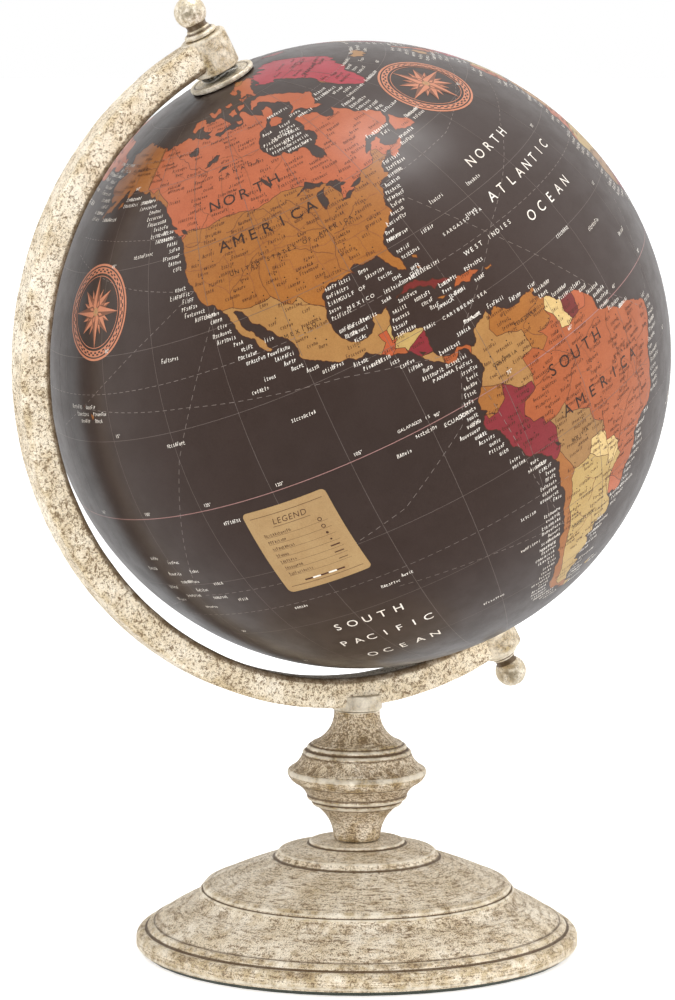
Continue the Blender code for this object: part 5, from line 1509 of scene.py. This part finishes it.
def inked(name, parts):
    """Prints on the ball as one piece, each part (points, faces, ink) in its own ink.

    It is shaded as the ball is, with its faces turned outward.
    """
    starts = np.cumsum([0] + [len(points) for points, _faces, _ink in parts])
    points = np.concatenate([points for points, _faces, _ink in parts])
    groups = []
    colours = []
    for size in sorted({faces.shape[1] for _points, faces, _ink in parts}):
        own = [(faces + start, ink) for (_p, faces, ink), start in zip(parts, starts) if faces.shape[1] == size]
        groups.append(facing_out(points, np.concatenate([faces for faces, _ink in own])))
        colours.append(np.concatenate([np.tile((*ink, 1.0), (len(faces) * size, 1)) for faces, ink in own]))
    normals = (points - CENTRE) / np.linalg.norm(points - CENTRE, axis=1, keepdims=True)
    obj = piece(name, points, groups, map_material(), "globe", normals=normals)
    paint(obj, np.concatenate(colours))
    return obj


# Large lettering: word, middle, width and height in millimetres
SEA_WORDS = (
    ("NORTH", -45.5, 34.6, 26, 3.5), ("ATLANTIC", -43.7, 27.5, 43, 3.5), ("OCEAN", -44.0, 20.6, 30, 3.5),
    ("SOUTH", -118.7, -32.8, 27, 3.6), ("PACIFIC", -118.2, -38.8, 35, 3.6), ("OCEAN", -118.3, -45.9, 28, 3.6),
    ("SOUTH", -15, -22, 25, 4.2), ("ATLANTIC", -15, -28.5, 38, 4.2), ("OCEAN", -15, -35, 26, 4.2),
    ("INDIAN", 78, -14, 34, 4.4), ("OCEAN", 78, -21, 30, 4.4), ("ARCTIC OCEAN", -20, 85.5, 22, 1.6),
    ("SOUTHERN OCEAN", 60, -57, 60, 3.6), ("NORTH PACIFIC", 154, 36, 52, 3.4), ("OCEAN", 154, 30, 26, 3.4),
    ("GULF OF", -91.5, 26.2, 9, 1.2), ("MEXICO", -91.0, 24.2, 9.5, 1.2), ("CARIBBEAN SEA", -74.5, 14.9, 17, 1.1),
    ("HUDSON", -85.8, 60.4, 7, 1.3), ("BAY", -85.2, 58.4, 4, 1.3), ("TASMAN SEA", 160, -38, 16, 1.7),
    ("BERING SEA", 177, 57.5, 13, 1.6), ("ARABIAN SEA", 64, 15, 16, 1.6), ("CORAL SEA", 156, -16, 14, 1.6),
)
ISLAND_NAMES = (
    (-154, -8.5, 5), (-149, -9.5, 7), (-157, -11, 6), (-151, -12.2, 8), (-145, -11.8, 5), (-148.5, -14.2, 11),
    (-155, -15.6, 6), (-147, -16.4, 7), (-141.5, -15.2, 5), (-151, -17.8, 9), (-144, -18.6, 8), (-156.5, -19, 6),
    (-139, -19.8, 5), (-149, -21, 7), (-91, -0.8, 9), (-96, -2.6, 6), (-109.5, -26, 8), (-105.6, -25.2, 5),
    (-109, 10.6, 10), (-114.5, 17.4, 7), (-112, 18.8, 5), (-80.5, -33.5, 9), (-79.5, -26.2, 7), (-62, 27.5, 6),
    (-56, 31.8, 8), (-47.5, 14.8, 9), (-38.5, 11.6, 10), (-31, 6.4, 7), (-66, 33, 7), (-72, 29.4, 6),
    (-128.5, -24.6, 6), (-130, -3.2, 8), (-134.5, 12.8, 9), (-137, 46.8, 10), (-131, 27.2, 8), (-92, -43, 9),
)
COUNTRY_NAMES = (
    ("UNITED STATES OF AMERICA", -98.5, 38.2, 42, 1.4), ("CANADA", -104, 57.6, 15, 1.4),
    ("MEXICO", -103.5, 24.3, 11, 1.3),
    ("COLOMBIA", -72.8, 3.4, 9.5, 1.2), ("VENEZUELA", -65.6, 7.3, 9.5, 1.2), ("BRAZIL", -47.5, -9.2, 12, 1.4),
    ("PERU", -75.2, -9.6, 6, 1.2), ("BOLIVIA", -64.2, -17.2, 7.5, 1.2), ("ARGENTINA", -66.2, -35.5, 10, 1.2),
    ("GREENLAND", -42, 71.6, 9, 1.3), ("ALASKA", -152, 65, 8, 1.3),
)
WEST_NAMES = (
    ("WEST INDIES", -62.5, 22.2, 21, 1.5), ("ECUADOR", -85.4, -1.4, 9, 1.3), ("CUBA", -79, 24.2, 4.5, 1.1),
    ("JAMAICA", -77.6, 16.9, 6, 1.1), ("SARGASSO SEA", -65.0, 27.0, 17, 1.1), ("PANAMA", -84.2, 6.4, 7.5, 1.2),
    ("CHILE", -76.2, -36.5, 6, 1.2), ("GALAPAGOS IS", -92.4, 1.4, 11, 1.0),
)
LAND_WORDS = (
    ("NORTH", -104.6, 52.1, 25, 3.9), ("AMERICA", -101.8, 43.7, 34, 3.9), ("SOUTH", -59.2, -3.3, 27, 4.0),
    ("AMERICA", -55.2, -11.4, 41, 4.0), ("AFRICA", 20, 12, 44, 4.4), ("EUROPE", 22, 50, 26, 3.4),
    ("ASIA", 92, 46, 46, 5.0), ("AUSTRALIA", 134, -25.5, 46, 3.8), ("ANTARCTICA", 60, -76, 34, 3.2),
)


def on_land(places):
    """Which places lie inside the outline of a land."""
    found = np.zeros(len(places), bool)
    for points in LAND.values():
        found |= inside(places, np.array(points, float).reshape(-1, 2))
    return found


def word_reach(places, letters, height):
    """How many degrees of longitude a tiny word takes up at its latitude."""
    return letters * LETTER_STEP * height * DEGREES_PER_METRE / np.cos(np.radians(places[:, 1]))


# Degrees of latitude between rows of sea labels, and of longitude that take one label at most
LABEL_ROW = 1.25
LABEL_STRETCH = 9


def sea_label_places(flat, ends, first, second, height):
    """Where small sea labels stand: one for each row of latitude and stretch of coast, on the side the sea
    is, and only where the whole word has sea under it. Gives places, letter counts, and 1 or -1 for words
    that run east or west."""
    coast = (first == -1) | (second == -1)
    ends, first = ends[coast], first[coast]
    start, end = flat[ends[:, 0]], flat[ends[:, 1]]
    middle = (start + end) / 2
    side = np.sign(-(end - start)[:, 1]) * np.where(first == -1, 1, -1)
    row = np.round(middle[:, 1] / LABEL_ROW)
    keep = (np.abs(middle[:, 1]) < 66) & (side != 0) & (chance(np.stack([row, side], 1)) < 0.93)
    keys = np.stack([row, side, np.floor(middle[:, 0] / LABEL_STRETCH)], 1)[keep]
    _keys, picked = np.unique(keys, axis=0, return_index=True)
    middle, side = middle[keep][picked], side[keep][picked]
    level = row[keep][picked] * LABEL_ROW
    places = np.stack([middle[:, 0] + side * 0.7 / np.cos(np.radians(level)), level], 1)
    letters = (4 + chance(places, 2) * 6).astype(int)
    reach = word_reach(places, letters, height) * side
    clear = np.ones(len(places), bool)
    for part in (0.15, 0.5, 1.0):
        clear &= ~on_land(places + np.stack([reach * part, 0 * reach], 1))
    return places[clear], letters[clear], side[clear]


def land_label_places(height):
    """Where small land labels stand: rows of latitude every few degrees, each with places a word apart and
    shifted by a fixed chance, kept where the whole word has land under it."""
    rows = np.arange(-74, 78, 1.15)
    gap = 6.4 / np.cos(np.radians(rows))
    starts = -168 + chance(np.stack([rows, gap], 1)) * gap
    places = np.vstack([level_row(start, 190, step, level) for start, step, level in zip(starts, gap, rows)])
    places = places + np.stack([(chance(places, 4) - 0.5) * 2.2, (chance(places, 5) - 0.5) * 0.5], 1)
    letters = (4 + chance(places, 6) * 6).astype(int)
    reach = word_reach(places, letters, height) / 2
    clear = np.ones(len(places), bool)
    for part in (-1, 0, 1):
        clear &= on_land(places + np.stack([reach * part, 0 * reach], 1))
    return places[clear], letters[clear]


# ---- operators of the ball

# The ball's net and its finish, kept for the prints that lie on it
NET = {}


def ink_table(context):
    inks = context.scene.globe_inks
    return {name: tuple(getattr(inks, name)) for name in inks.__annotations__ if name != "varnish"}


def map_material():
    if "material" not in NET:
        NET["material"] = lacquered_map(bpy.context.scene.globe_inks)
    return NET["material"]


class GLOBE_OT_printed_ball(bpy.types.Operator):
    """Make the printed ball with its seas, lands and countries"""

    bl_idname = "globe.printed_ball"
    bl_label = "Printed ball"

    def execute(self, context):
        ball, flat, triangles, country = ball_map(ink_table(context), map_outlines(), map_material())
        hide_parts("north_hemisphere", "south_hemisphere")
        NET.update(flat=flat, triangles=triangles, country=country)
        return {"FINISHED"}


class GLOBE_OT_map_lines(bpy.types.Operator):
    """Print coast and border lines, the grid, rivers, state lines and sea routes"""

    bl_idname = "globe.map_lines"
    bl_label = "Map lines"

    def execute(self, context):
        sizes = context.scene.globe_print
        inks = ink_table(context)
        ends, first, second = edges_between(NET["triangles"], NET["country"])
        coast = (first == -1) | (second == -1)
        places = on_ball(NET["flat"][ends])
        longer = places + (places - places.mean(1, keepdims=True)) * 0.12
        width = np.where(coast, sizes.coast_width, sizes.border_width)[:, None]
        inked("coast_and_border_lines", [(*ribbons(longer, width, 0.02 * MM), inks["type_brown"])])
        thin = sizes.grid_width
        meridians = [line_points((lon, -75, lon, 75), 76) for lon in range(-165, 181, 15)]
        parallels = [
            line_points((WEST_END, lat, EAST_END, lat), 181) for lat in (*range(-75, 0, 15), *range(15, 76, 15))
        ]
        fans = [ribbons(on_ball(np.stack(lines)), thin, 0.012 * MM) for lines in (meridians, parallels)]
        grid = [(*fan, inks["grid"]) for fan in fans]
        equator = line_points((WEST_END, 0, EAST_END, 0), 181)
        grid.append((*ribbons(on_ball(equator[None]), 1.7 * thin, 0.014 * MM), inks["rose_line"]))
        for lat in (-66.5, -23.44, 23.44, 66.5):
            circle = dashes((WEST_END, lat, EAST_END, lat), 1.1, 0.7)
            grid.append((*ribbons(on_ball(circle), thin, 0.014 * MM), inks["route"]))
        inked("map_grid", grid)
        fine = []
        for lines, ink, width, step in ((RIVERS, "river", 0.16, 0.8), (STATE_LINES, "border_fine", 0.13, 1.2)):
            drawn = [roughened(line, step, 0.12, 9, closed=False) for line in lines]
            even = [line_points(line, 48) for line in drawn]
            fine.append((*ribbons(on_ball(np.stack(even)), width * MM, 0.025 * MM), inks[ink]))
        inked("rivers_and_state_lines", fine)
        dashed = np.concatenate([dashes(route, 1.0, 0.8) for route in ROUTES])
        inked("sea_routes", [(*ribbons(on_ball(dashed), 0.16 * MM, 0.02 * MM), inks["route"])])
        return {"FINISHED"}


class GLOBE_OT_lettering(bpy.types.Operator):
    """Print the names of the seas, continents and some countries"""

    bl_idname = "globe.lettering"
    bl_label = "Large lettering"

    def execute(self, context):
        white, black = context.scene.globe_inks.white, context.scene.globe_inks.type_black
        inked("sea_names", [part for word in (*SEA_WORDS, *WEST_NAMES) for part in wide_word(*word, white, 0.12)])
        lands = [part for word in LAND_WORDS for part in wide_word(*word, black, weight=0.004 * MM)]
        lands += [part for word in COUNTRY_NAMES for part in wide_word(*word, black)]
        inked("continent_names", lands)
        return {"FINISHED"}


class GLOBE_OT_small_labels(bpy.types.Operator):
    """Print the small labels, town dots and degree figures"""

    bl_idname = "globe.small_labels"
    bl_label = "Small labels"

    def execute(self, context):
        inks = ink_table(context)
        sizes = context.scene.globe_print
        ends, first, second = edges_between(NET["triangles"], NET["country"])
        places, letters, side = sea_label_places(NET["flat"], ends, first, second, sizes.sea_type)
        east = side > 0
        lone = np.array(ISLAND_NAMES, float)
        strokes = np.concatenate([
            tiny_words(lone[:, :2], lone[:, 2].astype(int), sizes.sea_type, 0, salt=7),
            tiny_words(places[east], letters[east], sizes.sea_type, 1, salt=1),
            tiny_words(places[~east], letters[~east], sizes.sea_type, -1, salt=2),
        ])
        inked("sea_labels", [(*ribbons(on_ball(strokes), sizes.type_stroke, 0.03 * MM), inks["white"])])
        places, letters = land_label_places(sizes.land_type)
        strokes = tiny_words(places, letters, sizes.land_type, 0, salt=3)
        parts = [(*ribbons(on_ball(strokes), sizes.type_stroke, 0.032 * MM), inks["type_brown"])]
        dots = (places + (0.9, 0.75))[:, None] + np.array(((-0.11, 0.0), (0.11, 0.0)))
        parts.append((*ribbons(on_ball(dots), 0.38 * MM, 0.032 * MM), inks["type_black"]))
        inked("land_labels", parts)
        figures = [(abs(lon), lon + 1.9, 1.0) for lon in range(-165, 181, 15)]
        for lat in (-60, -45, -30, -15, 15, 30, 45, 60):
            beside = 1.5 / math.cos(math.radians(lat))
            figures += [(abs(lat), lon + beside, lat + 0.9) for lon in (-150, -30, 90)]
        parts = []
        for figure, lon, lat in figures:
            points, triangles = letter_shapes(f"{figure}°", 1.15 * MM)
            parts.append((laid_on(points, lon, lat), triangles, inks["white"]))
        inked("degree_figures", parts)
        return {"FINISHED"}


class GLOBE_OT_roses_and_legend(bpy.types.Operator):
    """Print the compass roses and the legend card"""

    bl_idname = "globe.roses_and_legend"
    bl_label = "Compass roses and legend"

    def execute(self, context):
        inks = ink_table(context)
        radius = context.scene.globe_print.rose_radius
        roses = []
        for lon, lat in ((-152.8, 38.0), (-34.6, 50.7), (88.0, -38.0)):
            roses += compass_rose(lon, lat, radius, inks)
        inked("compass_roses", roses)
        inked("legend_card", legend_card(inks))
        return {"FINISHED"}


# ---- stage


def soft_box(name, place, aim, wide, high, power, mirrored=False):
    """A rectangular lamp aimed at a point; one that isn't mirrored doesn't show in glossy surfaces."""
    light = bpy.data.lights.new(name, "AREA")
    light.shape = "RECTANGLE"
    light.size = wide
    light.size_y = high
    light.energy = power
    obj = bpy.data.objects.new(name, light)
    obj.visible_glossy = mirrored
    obj.location = place
    obj.rotation_euler = (Vector(aim) - Vector(place)).to_track_quat("-Z", "Y").to_euler()
    bpy.context.scene.collection.objects.link(obj)


def studio_world(stage):
    """Even white surroundings, dimmer towards the room in front of the globe, where no lamp stands."""
    world = bpy.data.worlds.new("studio")
    bpy.context.scene.world = world
    world.use_nodes = True
    wires = Wiring(world.node_tree)
    front = (math.sin(VIEW_TURN), -math.cos(VIEW_TURN), -0.45)
    facing = wires.node("VectorMath", {"operation": "DOT_PRODUCT"}, 1, _0=wires.node("TexCoord"), _1=front)
    fall = wires.node(
        "MapRange", {"interpolation_type": "SMOOTHSTEP"}, Value=facing, From_Min=-0.25, From_Max=0.75,
        To_Min=stage.surround, To_Max=stage.surround_front,
    )
    strength = wires.node("Mix", _0=wires.node("LightPath"), _2=fall, _3=1.0)
    background = world.node_tree.nodes["Background"].inputs
    wires.plug((1.0, 1.0, 1.0), background["Color"])
    wires.plug(strength, background["Strength"])


def floor_surface(stage):
    """The floor, clear from below and a tenth of a millimetre low so that the felt shows there.

    It is a disc of rings, closer near the globe: point(row, step) = (r cos a, r sin a, -drop).
    """
    steps = 96
    radius = np.linspace(0, 1, 24)[1:, None] ** 2 * stage.floor_radius
    swing = np.arange(steps) * (2 * math.pi / steps)
    grid = np.stack([radius * np.cos(swing), radius * np.sin(swing), 0 * radius + 0 * swing], -1)
    index = np.arange(grid.size // 3).reshape(-1, steps)
    ahead = np.roll(index, -1, 1)
    quads = np.stack([index[:-1], index[1:], ahead[1:], ahead[:-1]], -1).reshape(-1, 4)
    fan = np.stack([np.full(steps, grid.size // 3), index[0], ahead[0]], -1)
    points = np.vstack([grid.reshape(-1, 3), np.zeros((1, 3))]) - (0, 0, 0.1 * MM)
    finish = Finish("pale_floor", Roughness=0.7, Emission_Color=(1.0, 1.0, 1.0), Emission_Strength=stage.floor_glow)
    shade = finish.cloud(finish.place(), 300.0, 2.0).between(0.3, 0.7)
    finish.set(Base_Color=finish.mix(shade, (0.90, 0.90, 0.90), (0.87, 0.87, 0.865)))
    above, below = Shade(finish, finish.shader.outputs[0]), finish.node("BsdfTransparent")
    backfacing = finish.node("NewGeometry", output=6)
    both = finish.node("MixShader", _0=backfacing, _1=above, _2=below)
    finish.plug(both, finish.tree.nodes["Material Output"].inputs["Surface"])
    mesh = bpy.data.meshes.new("pale_floor")
    mesh.from_pydata(points.tolist(), [], quads.tolist() + fan.tolist())
    mesh.materials.append(finish.material)
    floor = bpy.data.objects.new("pale_floor", mesh)
    bpy.context.scene.collection.objects.link(floor)
    floor.visible_glossy = False


class GLOBE_OT_stage(bpy.types.Operator):
    """Make the floor, the studio lights and the camera"""

    bl_idname = "globe.stage"
    bl_label = "Floor, lights and camera"

    def execute(self, context):
        stage = context.scene.globe_stage
        floor_surface(stage)
        studio_world(stage)
        context.scene.view_settings.view_transform = "Standard"
        right = np.array((math.cos(VIEW_TURN), math.sin(VIEW_TURN), 0.0))
        back = np.array((math.sin(VIEW_TURN), -math.cos(VIEW_TURN), 0.0))
        up = np.array((0.0, 0.0, 1.0))
        top = CENTRE + up * 1.0 + right * 0.16 + back * 0.10
        soft_box("top_box", top, CENTRE, 0.42, 0.42, stage.top_power, mirrored=True)
        soft_box("left_box", CENTRE - right * 1.3 + up * 0.35 + back * 0.15, CENTRE, 0.7, 1.2, stage.left_power)
        soft_box("right_box", CENTRE + right * 1.3 + up * 0.3 + back * 0.05, CENTRE, 0.7, 1.2, stage.right_power)
        soft_box("front_box", CENTRE + back * 1.9 + up * 1.3 - right * 0.5, CENTRE, 0.9, 0.7, stage.front_power)
        low = CENTRE + back * 1.6 + right * 0.45 - up * 0.06
        soft_box("low_box", low, CENTRE - up * 0.1, 0.9, 0.45, stage.low_power)
        camera = bpy.data.cameras.new("camera")
        camera.lens = stage.lens
        camera.sensor_width = 36.0
        holder = bpy.data.objects.new("camera", camera)
        forward = -back * math.cos(stage.camera_pitch) - up * math.sin(stage.camera_pitch)
        above = np.cross(right, forward)
        aside, lower = 0.00637, 0.0469  # of the ball's centre: where the middle of the view is
        place = CENTRE - forward * stage.camera_distance - right * aside - above * lower
        turn = Matrix(np.stack([right, above, -forward], 1).tolist()).to_4x4()
        holder.matrix_world = Matrix.Translation(place) @ turn
        bpy.context.scene.collection.objects.link(holder)
        bpy.context.scene.camera = holder
        return {"FINISHED"}


# ---- settings and panel


def colour(name, description, default):
    return FloatVectorProperty(name=name, description=description, default=default, subtype="COLOR", min=0.0, max=1.0)


def amount(name, description, default, **more):
    return FloatProperty(name=name, description=description, default=default, min=0.0, **more)


def length(name, description, default):
    return amount(name, description, default, subtype="DISTANCE", unit="LENGTH")


def power(name, description, default):
    return amount(name, description, default, subtype="POWER", unit="POWER")


class GlobeInks(bpy.types.PropertyGroup):
    sea: colour("Sea", "Dark ink of the seas", (0.0416, 0.0257, 0.0208))
    coral: colour("Coral", "Coral ink, as on Canada", (0.392, 0.102, 0.0386))
    ochre: colour("Ochre", "Ochre brown ink, as on Alaska", (0.307, 0.114, 0.0273))
    ochre_gold: colour("Ochre gold", "Ochre gold ink, as on the United States", (0.307, 0.117, 0.0244))
    crimson: colour("Crimson", "Crimson ink, as on Greenland", (0.341, 0.0301, 0.0466))
    tan: colour("Tan", "Tan yellow ink, as on Mexico", (0.341, 0.178, 0.0580))
    maroon: colour("Maroon", "Maroon ink, as on Peru", (0.202, 0.0227, 0.0284))
    orange: colour("Orange", "Orange ink, as on Brazil", (0.341, 0.0886, 0.0261))
    brick: colour("Brick", "Brick ink, as on Guatemala", (0.409, 0.0852, 0.0295))
    lemon: colour("Yellow", "Yellow ink, as on Argentina", (0.420, 0.289, 0.101))
    olive: colour("Olive", "Olive tan ink, as on Bolivia", (0.295, 0.156, 0.0534))
    pale: colour("Pale", "Pale straw ink, as on Paraguay", (0.568, 0.409, 0.170))
    purple: colour("Purple", "Dark red brown ink, as on Cuba", (0.148, 0.0227, 0.0193))
    white: colour("White type", "Lettering on the seas", (0.80, 0.76, 0.70))
    type_brown: colour("Brown type", "Fine lines and small lettering on land", (0.075, 0.026, 0.014))
    type_black: colour("Black type", "Large lettering on land", (0.035, 0.018, 0.013))
    grid: colour("Grid", "Lines of latitude and longitude", (0.125, 0.098, 0.088))
    rose_line: colour("Equator", "Line of the equator", (0.30, 0.16, 0.15))
    route: colour("Routes", "Dashed sea routes", (0.20, 0.165, 0.15))
    river: colour("Rivers", "Rivers", (0.13, 0.048, 0.024))
    border_fine: colour("State lines", "Fine lines inside countries", (0.22, 0.080, 0.035))
    salmon: colour("Salmon", "Light ink of the compass roses", (0.52, 0.205, 0.115))
    card: colour("Card", "Tan of the legend card", (0.356, 0.232, 0.103))
    varnish: amount("Varnish", "Strength of the clear coat", 0.30, max=1.0)


class GlobePrint(bpy.types.PropertyGroup):
    coast_width: length("Coast line", "Width of the line round the lands", 0.24 * MM)
    border_width: length("Border line", "Width of the line between countries", 0.17 * MM)
    grid_width: length("Grid line", "Width of the lines of latitude and longitude", 0.15 * MM)
    sea_type: length("Sea labels", "Height of the small labels on the seas", 1.15 * MM)
    land_type: length("Land labels", "Height of the small labels on the lands", 1.0 * MM)
    type_stroke: length("Label strokes", "Width of a stroke of the small labels", 0.15 * MM)
    rose_radius: length("Compass rose", "Radius of a compass rose", 15.3 * MM)


class GlobeStand(bpy.types.PropertyGroup):
    wash: colour("Wash", "Cream wash", (0.78, 0.665, 0.48))
    # Pale wash of random patches, also used as the painted highlight on edges and beads
    pale_wash_and_edge_highlight: colour("Light wash", "Thick wash on beads and edges", (0.88, 0.80, 0.66))
    wash_shade: colour("Thin wash", "Thin wash where the casting shows through", (0.68, 0.54, 0.345))
    patina_light: colour("Light patina", "Brown left in the brush lines", (0.43, 0.295, 0.155))
    patina: colour("Patina", "Grey brown in the pits", (0.155, 0.098, 0.050))
    # Brown of the patina in grooves, also painted as shade on the arm's corners that face the ball
    groove_patina_and_shade: colour("Groove", "Dark brown settled in the grooves", (0.115, 0.070, 0.036))
    worn_gold: colour("Worn gold", "Gold where the wash is rubbed through", (0.52, 0.38, 0.16))
    plate: colour("Plating", "Champagne plating of the finials and cap", (0.66, 0.55, 0.37))
    pit_size: length("Pits", "Size of the pits in the casting", 0.70 * MM)
    steps_round: IntProperty(name="Steps", description="Faces round the base", default=224, min=48, max=400)


class GlobeStage(bpy.types.PropertyGroup):
    camera_pitch: amount("Pitch", "How far the camera looks down", math.radians(6.75), subtype="ANGLE", unit="ROTATION")
    camera_distance: length("Distance", "From the camera to the ball's centre, along its view", 1.3964)
    lens: amount("Lens", "Focal length in millimetres", 155.0)
    floor_radius: length("Floor", "Radius of the floor", 14.0)
    floor_glow: amount("Floor glow", "Light that the floor sheet gives off", 0.5)
    surround: amount("Surroundings", "Light from the sides and back", 1.0)
    surround_front: amount("Front surroundings", "Light from the room in front", 0.10)
    top_power: power("Top light", "Power of the light above", 3.8)
    left_power: power("Left light", "Power of the light on the left", 3.5)
    right_power: power("Right light", "Power of the light on the right", 6.0)
    low_power: power("Low light", "Power of the low light in front", 15.0)
    front_power: power("Front light", "Power of the light in front", 14.0)


OPERATORS = (
    GLOBE_OT_printed_ball, GLOBE_OT_map_lines, GLOBE_OT_lettering, GLOBE_OT_small_labels,
    GLOBE_OT_roses_and_legend, GLOBE_OT_pole_cap, GLOBE_OT_arm, GLOBE_OT_finials, GLOBE_OT_stem, GLOBE_OT_base,
    GLOBE_OT_hardware, GLOBE_OT_stage,
)
SETTINGS = {"globe_inks": GlobeInks, "globe_print": GlobePrint, "globe_stand": GlobeStand, "globe_stage": GlobeStage}


class GLOBE_PT_pieces(bpy.types.Panel):
    """Lists the globe's pieces and their settings"""

    bl_idname = "GLOBE_PT_pieces"
    bl_label = "Desktop globe"
    bl_space_type = "VIEW_3D"
    bl_region_type = "UI"
    bl_category = "Globe"

    def draw(self, context):
        for operator in OPERATORS:
            self.layout.operator(operator.bl_idname)
        for title, group in SETTINGS.items():
            box = self.layout.box()
            for name in group.__annotations__:
                box.prop(getattr(context.scene, title), name)


def register():
    for group in (*SETTINGS.values(), *OPERATORS, GLOBE_PT_pieces):
        bpy.utils.register_class(group)
    for title, group in SETTINGS.items():
        setattr(bpy.types.Scene, title, PointerProperty(type=group))


def unregister():
    for title in SETTINGS:
        delattr(bpy.types.Scene, title)
    for group in (GLOBE_PT_pieces, *OPERATORS, *SETTINGS.values()):
        bpy.utils.unregister_class(group)


def main():
    register()
    for operator in OPERATORS:
        family, name = operator.bl_idname.split(".")
        getattr(getattr(bpy.ops, family), name)()


if __name__ == "__main__":
    main()
